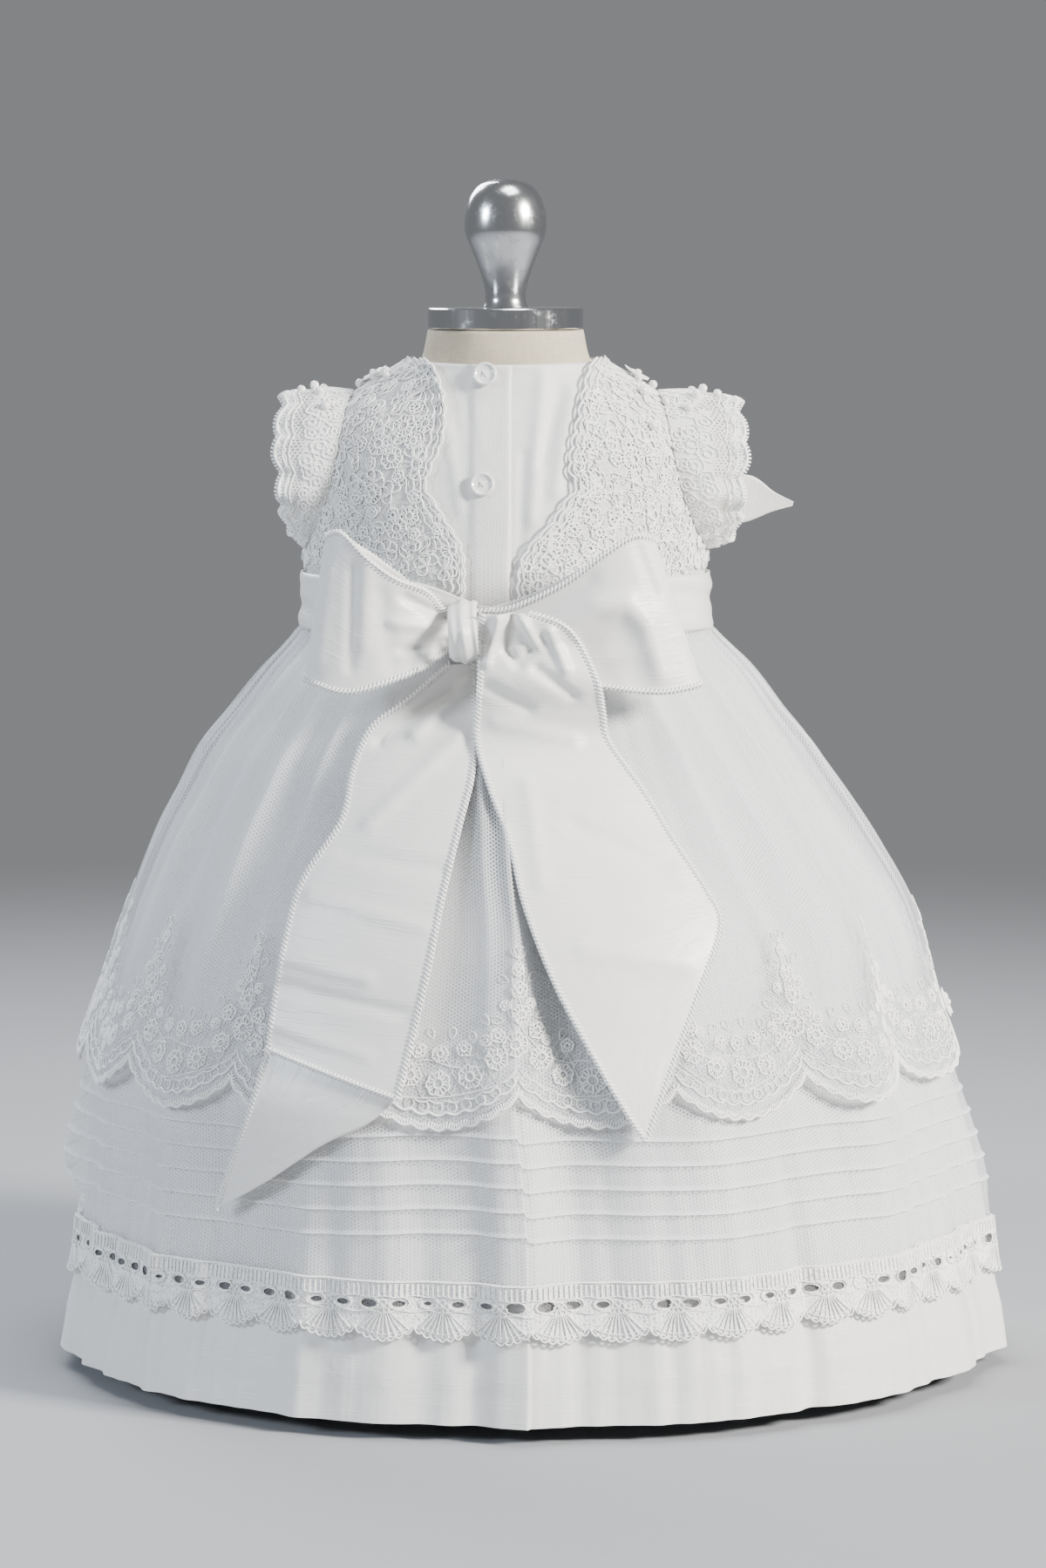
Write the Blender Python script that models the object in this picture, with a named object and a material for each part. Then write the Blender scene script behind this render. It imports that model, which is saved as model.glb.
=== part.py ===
"""Christening gown on a short dress form, with its buttoned back and sash bow towards -Y.

The frame's origin is the middle of the stand's underside, +Z is up and +X is the wearer's right.
Every cloth piece is a thin wall: a grid of outer points, a grid of inner points and the rims
between them.  A piece that lies on another is worked out from the same surface, moved outwards.
Tables are in millimetres and degrees, and functions return metres.
"""
import math
from collections import namedtuple

import bmesh
import bpy
import numpy as np

MM = 0.001

# ---------------------------------------------------------------- driving sizes, in millimetres
SEAM_GAP = 0.3              # space between two pieces that are sewn or stacked together
CLOTH = 1.1                 # wall of the bodice and of the lace
SATIN_WALL = 1.2            # wall of the underskirt, the sash and the bow
NET_WALL = 1.0              # wall of the two net skirts
HEM_Z = 7.5                 # underskirt hem above the floor
WAIST_Z = 341.0             # seam between the bodice and the skirts
NECK_Z = 461.0              # upper edge of the bodice
SASH_BOTTOM = 339.5
SASH_TOP = 365.0
ARMHOLE_Z = 410.0           # middle of each armhole
ARMHOLE_HALF_HEIGHT = 33.0
ARMHOLE_HALF_DEPTH = 28.0
GATHERS = 18
SKIRT_COLUMNS = 72          # four columns to each gather
SCALLOPS = 18               # along the lace edge of the overskirt
TUCK_HEIGHTS = (87.0, 97.5, 108.0, 118.5, 129.0)
TUCK_LIP = 1.1              # how far the folded edge of a tuck stands out
EDGING_TOP = 68.6
EDGING_SCALLOPS = 52
EDGING_LIFT = 2.0
EDGING_WALL = 1.3
EDGING_COLUMNS = 3          # columns to each scallop of the lace edging
LAP_EDGE_X = 3.0            # edge of the button side of the back opening
LAP_UNDER_X = -11.5         # edge of the side that runs beneath it
LAP_RAMP_X = (-17.0, -13.0)  # where the button side climbs over the other
LAP_RISE = 1.4
FORM_EASE = 1.5             # the dress form is this much smaller than the surface the cloth follows
BODICE_LIFT = 0.6
LACE_LIFT = 3.2
LACE_LAP_LIFT = 0.6         # more where the lace crosses the raised side of the opening
LACE_RELIEF = 0.5           # raised spots of the embroidery
SLEEVE_LIFT = 5.7
SASH_LIFT = 4.9
LACE_RAMP_X = (-40.0, -26.0)  # where the left lace climbs onto the raised side
FOLD_FADE = 60.0            # length over which a large fold dies away at either end
SCALLOP_TOP = 153.0         # mean height of the notches of the overskirt's edge
SCALLOP_DEPTH = 15.0
SCALLOP_TILT = 4.0          # the edge is this much lower on one side and higher on the other
EDGING_NOTCH = 49.0         # height of the notches of the lace edging
EDGING_SCALLOP_DEPTH = 5.0
SLEEVE_RIM_HALF_HEIGHT = 35.0
SLEEVE_RIM_HALF_DEPTH = 31.0
SLEEVE_FLARE = 4.0          # the rim stands this much further out at its top
KNOT_Y = -99.1
KNOT_Z = 345.0
KNOT_WALL = 1.5
BASE_RADIUS = 95.0
BASE_HEIGHT = 12.0
BASE_BEVEL = 3.0
POLE_RADIUS = 12.5

BACK = -90.0                # the four quarter directions, in degrees
RIGHT_SIDE = 0.0
LEFT_SIDE = -180.0
FRONT = 90.0

# ---------------------------------------------------------------- tables
Ring = namedtuple("Ring", "z half_width half_depth")
TORSO = (
    Ring(239, 50.0, 38.0),
    Ring(243, 72.0, 54.0),
    Ring(257, 84.0, 65.0),
    Ring(282, 89.0, 70.0),
    Ring(312, 90.0, 70.0),
    Ring(341, 89.5, 68.0),
    Ring(367, 88.5, 66.0),
    Ring(392, 88.0, 62.0),
    Ring(412, 87.0, 57.0),
    Ring(427, 83.0, 51.0),
    Ring(437, 76.0, 46.0),
    Ring(445, 66.0, 42.0),
    Ring(452, 55.0, 40.0),
    Ring(458, 45.0, 38.5),
    Ring(464, 40.0, 38.4),
    Ring(476.3, 37.2, 37.2),
)

# Outside of the underskirt, and how far the outer faces of the two net skirts stand off it.
Skirt = namedtuple("Skirt", "z half_width depth_ratio middle_x gather tuck_lift over_lift")
SKIRT = (
    Skirt(0.0, 220.5, 0.880, 11.0, 2.0, 1.6, 4.5),
    Skirt(26, 216.0, 0.880, 11.5, 2.1, 1.6, 4.5),
    Skirt(48, 210.5, 0.880, 11.4, 2.2, 1.6, 4.5),
    Skirt(80, 205.5, 0.880, 10.8, 2.4, 1.6, 4.5),
    Skirt(112, 201.0, 0.878, 8.5, 2.5, 1.7, 4.5),
    Skirt(142, 196.0, 0.876, 5.6, 2.6, 2.0, 4.6),
    Skirt(170, 186.5, 0.872, 5.9, 2.7, 2.6, 5.0),
    Skirt(206, 174.5, 0.865, 6.2, 2.7, 3.4, 6.4),
    Skirt(243, 155.0, 0.850, 3.2, 2.6, 4.4, 8.4),
    Skirt(261, 144.0, 0.840, 2.2, 2.5, 4.7, 9.2),
    Skirt(280, 133.0, 0.830, 1.0, 2.2, 4.5, 9.2),
    Skirt(297, 121.5, 0.815, 1.0, 1.9, 3.7, 7.5),
    Skirt(317, 108.5, 0.795, 1.0, 1.3, 2.7, 5.6),
    Skirt(335, 94.0, 0.770, 0.3, 0.8, 1.8, 4.2),
    Skirt(341, 91.1, 0.766, 0.0, 0.5, 1.4, 3.6),
)

# Large folds of all three skirts: a ridge has a positive height, a trough a negative one.
Fold = namedtuple("Fold", "angle width height top bottom")
FOLDS = (
    Fold(-158, 8, 3.0, 300, 60),
    Fold(-149, 6, -4.5, 310, 70),
    Fold(-140, 7, 4.5, 315, 40),
    Fold(-131, 6, -4.0, 320, 70),
    Fold(-112, 7, 2.0, 290, 10),
    Fold(-92, 6, 2.6, 320, 30),
    Fold(-84, 5, -6.0, 315, 70),
    Fold(-66, 8, 2.5, 280, 10),
    Fold(-49, 6, -4.0, 315, 70),
    Fold(-39, 7, 4.0, 315, 25),
    Fold(-27, 6, -4.5, 310, 70),
    Fold(-14, 8, 3.5, 300, 60),
    Fold(12, 6, -4.0, 310, 70),
    Fold(31, 8, 4.0, 315, 40),
    Fold(54, 6, -4.5, 315, 60),
    Fold(76, 8, 3.0, 300, 50),
    Fold(101, 6, -4.0, 315, 60),
    Fold(122, 8, 4.0, 315, 30),
    Fold(146, 6, -4.5, 310, 70),
    Fold(166, 8, 3.5, 300, 50),
)

# Heights of the rows of points that neighbouring layers share.
FORM_LEVELS = (239, 243, 257, 282, 312, 341, 378, 410, 434, 443, 451, 461, 467, 476.3)
BODICE_LEVELS = (341.3, 360.0, 378.0, 386.0, 398.0, 410.0, 422.0, 434.0, 443.0, 451.0, NECK_Z)
LACE_LEVELS = (366.4, 378.0, 386.0, 398.0, 410.0, 422.0, 434.0, 443.0, 451.0, 459.6)
SKIRT_LEVELS = (175.0, 220.0, 262.0, 297.0, 322.0)

# Inner, scalloped edges of the lace on the back, from the sash to the neck.
Edge = namedtuple("Edge", "z left_x right_x")
LACE_EDGE = (
    Edge(365, -18.5, 6.0),
    Edge(373, -18.5, 7.5),
    Edge(381, -20.5, 12.0),
    Edge(389, -25.5, 19.8),
    Edge(399, -31.5, 26.4),
    Edge(406, -35.6, 31.5),
    Edge(414, -33.1, 28.4),
    Edge(426, -28.0, 29.9),
    Edge(436, -26.6, 32.5),
    Edge(444, -27.0, 33.6),
    Edge(454, -29.5, 35.8),
    Edge(462, -33.5, 38.5),
)

Sleeve = namedtuple("Sleeve", "name way rim_x rim_z")
SLEEVES = (
    Sleeve("cap_sleeve_left", -1, 103.0, 410.5),
    Sleeve("cap_sleeve_right", 1, 106.0, 408.5),
)

# The knot's rings from left to right: half of the depth and half of the height of each.
KnotRing = namedtuple("KnotRing", "x half_depth half_height")
KNOT = (
    KnotRing(-24.8, 23.4, 11.5),
    KnotRing(-21.5, 25.9, 13.6),
    KnotRing(-18.0, 26.2, 14.2),
    KnotRing(-14.8, 25.9, 13.8),
    KnotRing(-12.0, 24.4, 12.6),
)

# A bow loop from inside the knot, round its far end and back into the knot behind.
LoopSection = namedtuple("LoopSection", "low_x low_z high_x high_z y")
LEFT_LOOP = (
    LoopSection(-22.5, 336.0, -22.5, 354.0, -105.0),
    LoopSection(-26.0, 335.6, -26.0, 354.6, -106.0),
    LoopSection(-36.0, 329.0, -34.0, 364.5, -113.0),
    LoopSection(-52.0, 322.8, -48.0, 370.5, -118.0),
    LoopSection(-69.0, 318.4, -61.0, 380.0, -117.5),
    LoopSection(-82.0, 321.0, -72.0, 390.5, -113.0),
    LoopSection(-89.0, 323.5, -79.0, 388.0, -104.0),
    LoopSection(-84.0, 325.0, -75.0, 388.0, -95.0),
    LoopSection(-69.0, 322.5, -62.0, 381.0, -91.0),
    LoopSection(-48.0, 327.0, -47.0, 370.0, -90.5),
    LoopSection(-26.0, 336.4, -26.0, 353.8, -96.0),
    LoopSection(-22.5, 336.4, -22.5, 353.8, -96.5),
)
RIGHT_LOOP = (
    LoopSection(-14.5, 334.8, -14.5, 355.2, -103.0),
    LoopSection(-11.0, 334.8, -11.0, 355.2, -103.4),
    LoopSection(4.0, 333.5, 3.0, 357.0, -106.5),
    LoopSection(28.0, 324.0, 26.0, 368.0, -111.5),
    LoopSection(50.0, 319.5, 44.0, 381.5, -113.5),
    LoopSection(70.0, 317.8, 57.0, 389.0, -110.5),
    LoopSection(86.5, 320.5, 66.0, 387.0, -102.5),
    LoopSection(83.0, 323.0, 62.0, 386.0, -94.5),
    LoopSection(64.0, 320.0, 54.0, 386.0, -91.0),
    LoopSection(38.0, 325.0, 37.0, 374.0, -90.0),
    LoopSection(12.0, 334.0, 12.0, 361.0, -91.0),
    LoopSection(-11.0, 336.0, -11.0, 354.0, -94.0),
    LoopSection(-14.5, 336.0, -14.5, 354.0, -94.5),
)

# A hanging end of the sash: its two edges, and how far each stands off the skirt's own surface.
TailSection = namedtuple("TailSection", "left_x left_z right_x right_z left_off right_off")
LEFT_TAIL = (
    TailSection(-26.0, 329.8, -13.5, 330.6, 19.0, 19.0),
    TailSection(-44.0, 314.0, -12.5, 317.0, 9.0, 8.0),
    TailSection(-60.0, 302.0, -12.0, 299.0, 8.0, 7.0),
    TailSection(-68.0, 285.0, -13.5, 282.0, 7.0, 6.5),
    TailSection(-73.0, 263.0, -19.0, 261.0, 8.0, 7.5),
    TailSection(-90.0, 237.0, -26.0, 232.5, 8.0, 7.5),
    TailSection(-97.5, 211.0, -32.0, 203.0, 7.5, 7.5),
    TailSection(-102.8, 180.0, -38.0, 177.5, 7.5, 7.5),
    TailSection(-106.6, 160.4, -46.7, 145.0, 7.5, 8.0),
    TailSection(-112.6, 142.0, -71.0, 129.0, 5.5, 5.5),
    TailSection(-120.5, 117.0, -98.5, 110.5, 5.5, 5.5),
    TailSection(-129.1, 91.5, -127.0, 90.8, 5.5, 5.5),
)
RIGHT_TAIL = (
    TailSection(-11.2, 354.0, 12.0, 354.5, 48.5, 46.0),
    TailSection(-11.5, 345.0, 29.0, 347.5, 44.0, 48.0),
    TailSection(-12.0, 328.0, 41.0, 326.5, 36.0, 41.0),
    TailSection(-13.0, 312.0, 44.5, 310.0, 19.0, 21.0),
    TailSection(-13.2, 297.0, 47.0, 297.0, 10.0, 9.0),
    TailSection(-7.3, 277.6, 61.9, 276.5, 8.5, 7.0),
    TailSection(1.1, 256.0, 75.1, 255.4, 7.5, 6.5),
    TailSection(8.0, 229.0, 90.0, 233.0, 7.5, 7.0),
    TailSection(21.2, 196.4, 95.5, 219.0, 7.0, 7.0),
    TailSection(38.2, 165.0, 86.5, 194.0, 6.5, 6.5),
    TailSection(52.0, 142.0, 72.0, 156.5, 6.0, 6.0),
    TailSection(60.0, 129.8, 63.0, 132.0, 6.0, 6.0),
)

# The ribbon's free end, past the first column, which is sewn to the lace on the front.
RibbonColumn = namedtuple("RibbonColumn", "low_x low_z high_x high_z y")
FRONT_RIBBON = (
    RibbonColumn(80.0, 386.0, 80.0, 405.0, 47.3),
    RibbonColumn(95.0, 385.5, 96.0, 406.0, 46.6),
    RibbonColumn(111.2, 384.7, 114.7, 406.9, 46.2),
    RibbonColumn(125.0, 389.8, 126.5, 399.0, 46.0),
    RibbonColumn(134.8, 392.6, 135.3, 394.6, 46.0),
)
RIBBON_ROOT_ANGLE = 45.0
RIBBON_ROOT_LIFT = 5.1

# Sewn-on flowers: where each one sits and how far it is from the middle to a petal's tip.
Flower = namedtuple("Flower", "name surface angle z lift radius")
FLOWERS = (
    Flower("flower_shoulder_left", "torso", -174, 450.5, 5.0, 7.0),
    Flower("flower_shoulder_right", "torso", -6, 450.5, 5.0, 7.0),
    Flower("flower_waist_left", "torso", 168, 372.5, 4.9, 6.5),
    Flower("flower_waist_right", "torso", 12, 372.5, 4.8, 6.5),
    Flower("flower_skirt_right", "skirt", -9, 165.0, 5.9, 7.5),
)
PETALS = 5
PETAL_HEIGHT = 1.6

CAP_PROFILE = ((35.8, 476.6), (35.8, 485.6), (35.2, 486.2))
KNOB_PROFILE = (
    (10.5, 486.5), (9.4, 490.0), (9.8, 495.0), (11.6, 502.0), (15.4, 512.0), (18.3, 519.0),
    (19.0, 524.0), (18.3, 531.0), (16.0, 537.5), (11.5, 542.5), (5.5, 544.7),
)
BUTTON_PROFILE = ((4.9, 0.0), (5.5, 0.7), (5.5, 1.6), (4.9, 2.2), (3.7, 1.5))
Button = namedtuple("Button", "name x z lift")
BUTTONS = (Button("button_upper", -8.5, 455.5, 4.2), Button("button_lower", -10.0, 407.0, 3.35))

# ---------------------------------------------------------------- surfaces


def smooth(rows, column, at):
    """Read a table's column at a height, along a curve through the rows without overshoot."""
    keys = np.array([row[0] for row in rows], float)
    values = np.array([getattr(row, column) for row in rows], float)
    slopes = np.diff(values) / np.diff(keys)
    tangents = np.zeros(len(keys))
    same_way = slopes[:-1] * slopes[1:] > 0.0
    sums = np.where(same_way, slopes[:-1] + slopes[1:], 1.0)
    tangents[1:-1] = np.where(same_way, 2.0 * slopes[:-1] * slopes[1:] / sums, 0.0)
    tangents[0] = slopes[0]
    tangents[-1] = slopes[-1]
    at = np.clip(np.asarray(at, float), keys[0], keys[-1])
    cell = np.clip(np.searchsorted(keys, at, side="right") - 1, 0, len(keys) - 2)
    width = keys[cell + 1] - keys[cell]
    part = (at - keys[cell]) / width
    rise = part * part * (3.0 - 2.0 * part)
    lead = part * (1.0 - part) ** 2 * width
    tail = part * part * (part - 1.0) * width
    ends = values[cell] * (1.0 - rise) + values[cell + 1] * rise
    return ends + lead * tangents[cell] + tail * tangents[cell + 1]


def ellipse_normal(cosine, sine, wide, deep, wide_slope, deep_slope):
    """The outward unit normal of a stack of ellipses whose radii change with height."""
    across = cosine / wide
    along = sine / deep
    up = -(cosine**2 * wide_slope / wide + sine**2 * deep_slope / deep)
    length = np.sqrt(across**2 + along**2 + up**2)
    return np.stack([across / length, along / length, up / length], axis=-1)


def on_torso(angle, z, lift):
    """A point off the dress form's surface, in metres; angle in degrees, z and lift in mm."""
    angle, z, lift = np.broadcast_arrays(np.asarray(angle, float), z, lift)
    cosine = np.cos(np.radians(angle))
    sine = np.sin(np.radians(angle))
    wide = smooth(TORSO, "half_width", z)
    deep = smooth(TORSO, "half_depth", z)
    wide_slope = smooth(TORSO, "half_width", z + 0.5) - smooth(TORSO, "half_width", z - 0.5)
    deep_slope = smooth(TORSO, "half_depth", z + 0.5) - smooth(TORSO, "half_depth", z - 0.5)
    normal = ellipse_normal(cosine, sine, wide, deep, wide_slope, deep_slope)
    point = np.stack([wide * cosine, deep * sine, z], axis=-1)
    return (point + normal * lift[..., None]) * MM


def fold_height(angle, z):
    """How far the gathers and the large folds push the skirts in or out, in mm."""
    turn = np.radians(angle)
    even = np.cos(GATHERS * (turn - math.radians(BACK)))
    # Gathers differ in height round the skirt.
    strength = 0.62 + 0.22 * np.sin(3.0 * turn + 0.7) + 0.16 * np.sin(7.0 * turn + 2.0)
    height = smooth(SKIRT, "gather", z) * even * strength
    for fold in FOLDS:
        away = (angle - fold.angle + 180.0) % 360.0 - 180.0
        upper = np.clip((fold.top - z) / FOLD_FADE, 0.0, 1.0)
        lower = np.clip((z - fold.bottom) / FOLD_FADE + 0.4, 0.0, 1.0)
        height = height + fold.height * np.exp(-((away / fold.width) ** 2)) * upper * lower
    return height


def on_skirt(angle, z, lift):
    """A point off the underskirt's outer surface, in metres; angle in degrees, the rest in mm."""
    angle, z, lift = np.broadcast_arrays(np.asarray(angle, float), z, lift)
    cosine = np.cos(np.radians(angle))
    sine = np.sin(np.radians(angle))
    wide = smooth(SKIRT, "half_width", z)
    ratio = smooth(SKIRT, "depth_ratio", z)
    slope = smooth(SKIRT, "half_width", z + 0.5) - smooth(SKIRT, "half_width", z - 0.5)
    normal = ellipse_normal(cosine, sine, wide, wide * ratio, slope, slope * ratio)
    level = normal * np.array([1.0, 1.0, 0.0])
    level = level / np.linalg.norm(level, axis=-1, keepdims=True)
    middle = smooth(SKIRT, "middle_x", z)
    point = np.stack([middle + wide * cosine, wide * ratio * sine, z], axis=-1)
    push = fold_height(angle, z)
    return (point + level * push[..., None] + normal * lift[..., None]) * MM


def skirt_depth(x, z):
    """How far the smooth skirt reaches towards -Y at a place, in mm."""
    wide = smooth(SKIRT, "half_width", z)
    across = (x - smooth(SKIRT, "middle_x", z)) / wide
    round_part = np.sqrt(np.clip(1.0 - across**2, 0.02, 1.0))
    return wide * smooth(SKIRT, "depth_ratio", z) * round_part


def side_angle(side, z, towards_front):
    """Where a bodice panel ends at the side: at the seam, or round the armhole."""
    level = np.clip((z - ARMHOLE_Z) / ARMHOLE_HALF_HEIGHT, -1.0, 1.0)
    reach = ARMHOLE_HALF_DEPTH * np.sqrt(1.0 - level**2)
    turn = np.degrees(np.arcsin(reach / smooth(TORSO, "half_depth", z)))
    gap = np.degrees(0.5 * SEAM_GAP / smooth(TORSO, "half_depth", z))
    away = turn + gap
    towards_back = away if side == LEFT_SIDE else -away
    return side - towards_back if towards_front else side + towards_back


def back_angle(x, z):
    """The angle of a place on the back of the torso."""
    return -np.degrees(np.arccos(x / smooth(TORSO, "half_width", z)))


# ---------------------------------------------------------------- meshes


def make_object(name, points, faces, material):
    """Turn points and faces into an object whose faces point outwards."""
    mesh = bpy.data.meshes.new(name)
    mesh.from_pydata([tuple(point) for point in points], [], faces)
    builder = bmesh.new()
    builder.from_mesh(mesh)
    bmesh.ops.recalc_face_normals(builder, faces=builder.faces[:])
    builder.to_mesh(mesh)
    builder.free()
    mesh.materials.append(material)
    mesh.shade_smooth()
    mesh.set_sharp_from_angle(angle=math.radians(40.0))
    item = bpy.data.objects.new(name, mesh)
    bpy.context.scene.collection.objects.link(item)
    return item


def bridge(points, first, second):
    """Triangles between two lines of points, always stepping along the shorter diagonal."""
    faces = []
    i = 0
    j = 0
    while i < len(first) - 1 or j < len(second) - 1:
        ahead = math.inf
        behind = math.inf
        if i < len(first) - 1:
            ahead = np.linalg.norm(points[first[i + 1]] - points[second[j]])
        if j < len(second) - 1:
            behind = np.linalg.norm(points[first[i]] - points[second[j + 1]])
        if ahead <= behind:
            faces.append((first[i], first[i + 1], second[j]))
            i += 1
        else:
            faces.append((first[i], second[j + 1], second[j]))
            j += 1
    return faces


def grid_faces(numbers, closed):
    """Two triangles to each cell, cut the same way on every piece so that layers nest."""
    faces = []
    rows, columns = numbers.shape
    for i in range(rows - 1):
        for j in range(columns if closed else columns - 1):
            k = (j + 1) % columns
            faces.append((numbers[i, j], numbers[i, k], numbers[i + 1, k]))
            faces.append((numbers[i, j], numbers[i + 1, k], numbers[i + 1, j]))
    return faces


def wall(name, outer, inner, material, closed=False):
    """A closed cloth wall between an outer and an inner grid, shaped (rows, columns, 3)."""
    outer_numbers = np.arange(outer.shape[0] * outer.shape[1]).reshape(outer.shape[:2])
    inner_numbers = np.arange(inner.shape[0] * inner.shape[1]).reshape(inner.shape[:2])
    inner_numbers = inner_numbers + outer_numbers.size
    points = np.concatenate([outer.reshape(-1, 3), inner.reshape(-1, 3)])
    faces = grid_faces(outer_numbers, closed)
    faces += [face[::-1] for face in grid_faces(inner_numbers, closed)]
    for row in (0, -1):
        first = list(outer_numbers[row])
        second = list(inner_numbers[row])
        if closed:
            first.append(first[0])
            second.append(second[0])
        faces += bridge(points, first, second)
    if not closed:
        for column in (0, -1):
            faces += bridge(points, list(outer_numbers[:, column]), list(inner_numbers[:, column]))
    return make_object(name, points, [tuple(int(n) for n in face) for face in faces], material)


def grid_normals(grid, closed):
    """Unit normals of a grid, from the directions of its rows and columns."""
    if closed:
        along = np.roll(grid, -1, axis=1) - np.roll(grid, 1, axis=1)
    else:
        along = np.gradient(grid, axis=1)
    normals = np.cross(along, np.gradient(grid, axis=0))
    return normals / np.linalg.norm(normals, axis=-1, keepdims=True)


def thick_sheet(name, grid, thickness, material, closed=False):
    """A sheet given by its outer grid, with its thickness on the other side."""
    inner = grid - grid_normals(grid, closed) * thickness * MM
    return wall(name, grid, inner, material, closed)


def stack(name, rings, material):
    """A solid through closed rings of points, with a flat face at each end."""
    rings = np.asarray(rings)
    numbers = np.arange(rings.shape[0] * rings.shape[1]).reshape(rings.shape[:2])
    faces = [tuple(int(n) for n in face) for face in grid_faces(numbers, True)]
    faces.append(tuple(int(n) for n in numbers[0]))
    faces.append(tuple(int(n) for n in numbers[-1]))
    return make_object(name, rings.reshape(-1, 3), faces, material)


def turned(name, profile, segments, material):
    """A solid turned round the vertical axis from (radius, height) pairs in mm."""
    turn = np.radians(np.arange(segments) * 360.0 / segments)
    rings = [np.stack([radius * np.cos(turn), radius * np.sin(turn),
                       np.full(segments, float(height))], axis=-1) * MM
             for radius, height in profile]
    return stack(name, rings, material)


def finish(name, colour, roughness, metallic=0.0):
    """A plain surface material."""
    material = bpy.data.materials.new(name)
    material.use_nodes = True
    shader = material.node_tree.nodes["Principled BSDF"]
    shader.inputs["Base Color"].default_value = (*colour, 1.0)
    shader.inputs["Roughness"].default_value = roughness
    shader.inputs["Metallic"].default_value = metallic
    material.diffuse_color = (*colour, 1.0)
    return material


# ---------------------------------------------------------------- dress form and stand


def build_form(linen, metal):
    """Torso, neck cap, knob, pole and base, one above the other."""
    angles = np.arange(20) * 18.0
    rings = [on_torso(angles, z, -FORM_EASE) for z in FORM_LEVELS]
    rings[0][:, 2] = FORM_LEVELS[0] * MM
    stack("form_torso", rings, linen)
    turned("form_cap", CAP_PROFILE, 32, metal)
    turned("form_knob", KNOB_PROFILE, 16, metal)
    pole = ((POLE_RADIUS, BASE_HEIGHT + SEAM_GAP), (POLE_RADIUS, FORM_LEVELS[0] - SEAM_GAP))
    turned("form_pole", pole, 16, metal)
    base = ((BASE_RADIUS, 0.0), (BASE_RADIUS, BASE_HEIGHT - BASE_BEVEL),
            (BASE_RADIUS - BASE_BEVEL, BASE_HEIGHT))
    turned("form_base", base, 32, metal)


# ---------------------------------------------------------------- bodice


def lap_rise(x):
    """How far the button side of the opening is raised over the other side."""
    start, end = LAP_RAMP_X
    return LAP_RISE * np.clip((x - start) / (end - start), 0.0, 1.0)


def bodice_panel(name, side, material):
    """One half of the back, from the side seam and armhole to the opening."""
    z = np.array(BODICE_LEVELS)[:, None]
    start = side_angle(side, z, False)
    is_left = side == LEFT_SIDE
    stops = (*LAP_RAMP_X, -5.0, LAP_EDGE_X) if is_left else (0.0, LAP_UNDER_X)
    ends = np.concatenate([back_angle(x, z) for x in stops], axis=1)
    spread = np.linspace(0.0, 1.0, 9)[None, :]
    angles = np.concatenate([start + (ends[:, :1] - start) * spread, ends[:, 1:]], axis=1)
    rises = [lap_rise(x) if is_left else 0.0 for x in stops[1:]]
    rise = np.array([0.0] * spread.size + rises)[None, :]
    outer = on_torso(angles, z, BODICE_LIFT + CLOTH + rise)
    inner = on_torso(angles, z, BODICE_LIFT + rise)
    wall(name, outer, inner, material)


def build_bodice(satin):
    """The front panel, open at both armholes, and the two halves of the back."""
    z = np.array(BODICE_LEVELS)[:, None]
    right = side_angle(RIGHT_SIDE, z, True)
    spread = np.linspace(0.0, 1.0, 17)[None, :]
    angles = right + (180.0 - 2.0 * right) * spread
    outer = on_torso(angles, z, BODICE_LIFT + CLOTH)
    wall("bodice_front", outer, on_torso(angles, z, BODICE_LIFT), satin)
    bodice_panel("bodice_back_left", LEFT_SIDE, satin)
    bodice_panel("bodice_back_right", RIGHT_SIDE, satin)


def lace_panel(name, start, end, material, on_lap=False):
    """A piece of raised lace over the bodice, between two edges given as angles per level."""
    z = np.array(LACE_LEVELS)[:, None]
    spread = np.linspace(0.0, 1.0, 9)[None, :]
    angles = start + (end - start) * spread
    row, column = np.indices(angles.shape)
    relief = np.where((row + column) % 2 == 0, LACE_RELIEF, 0.0)
    lift = LACE_LIFT + 0.0 * angles
    if on_lap:
        x = smooth(TORSO, "half_width", z) * np.cos(np.radians(angles))
        first, last = LACE_RAMP_X
        lift = lift + LACE_LAP_LIFT * np.clip((x - first) / (last - first), 0.0, 1.0)
    outer = on_torso(angles, z, lift + CLOTH + relief)
    inner = on_torso(angles, z, lift)
    wall(name, outer, inner, material)


def build_lace(lace):
    """Lace on the back, with scalloped inner edges, and plainly mirrored lace on the front."""
    z = np.array(LACE_LEVELS)[:, None]
    back_left = side_angle(LEFT_SIDE, z, False)
    back_right = side_angle(RIGHT_SIDE, z, False)
    left_edge = back_angle(smooth(LACE_EDGE, "left_x", z), z)
    right_edge = back_angle(smooth(LACE_EDGE, "right_x", z), z)
    lace_panel("lace_back_left", back_left, left_edge, lace, on_lap=True)
    lace_panel("lace_back_right", right_edge, back_right, lace)
    front_right = side_angle(RIGHT_SIDE, z, True)
    front_gap = np.degrees(0.5 * SEAM_GAP / smooth(TORSO, "half_depth", z))
    lace_panel("lace_front_right", front_right, FRONT - front_gap, lace)
    lace_panel("lace_front_left", FRONT + front_gap, 180.0 - front_right, lace)


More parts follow.
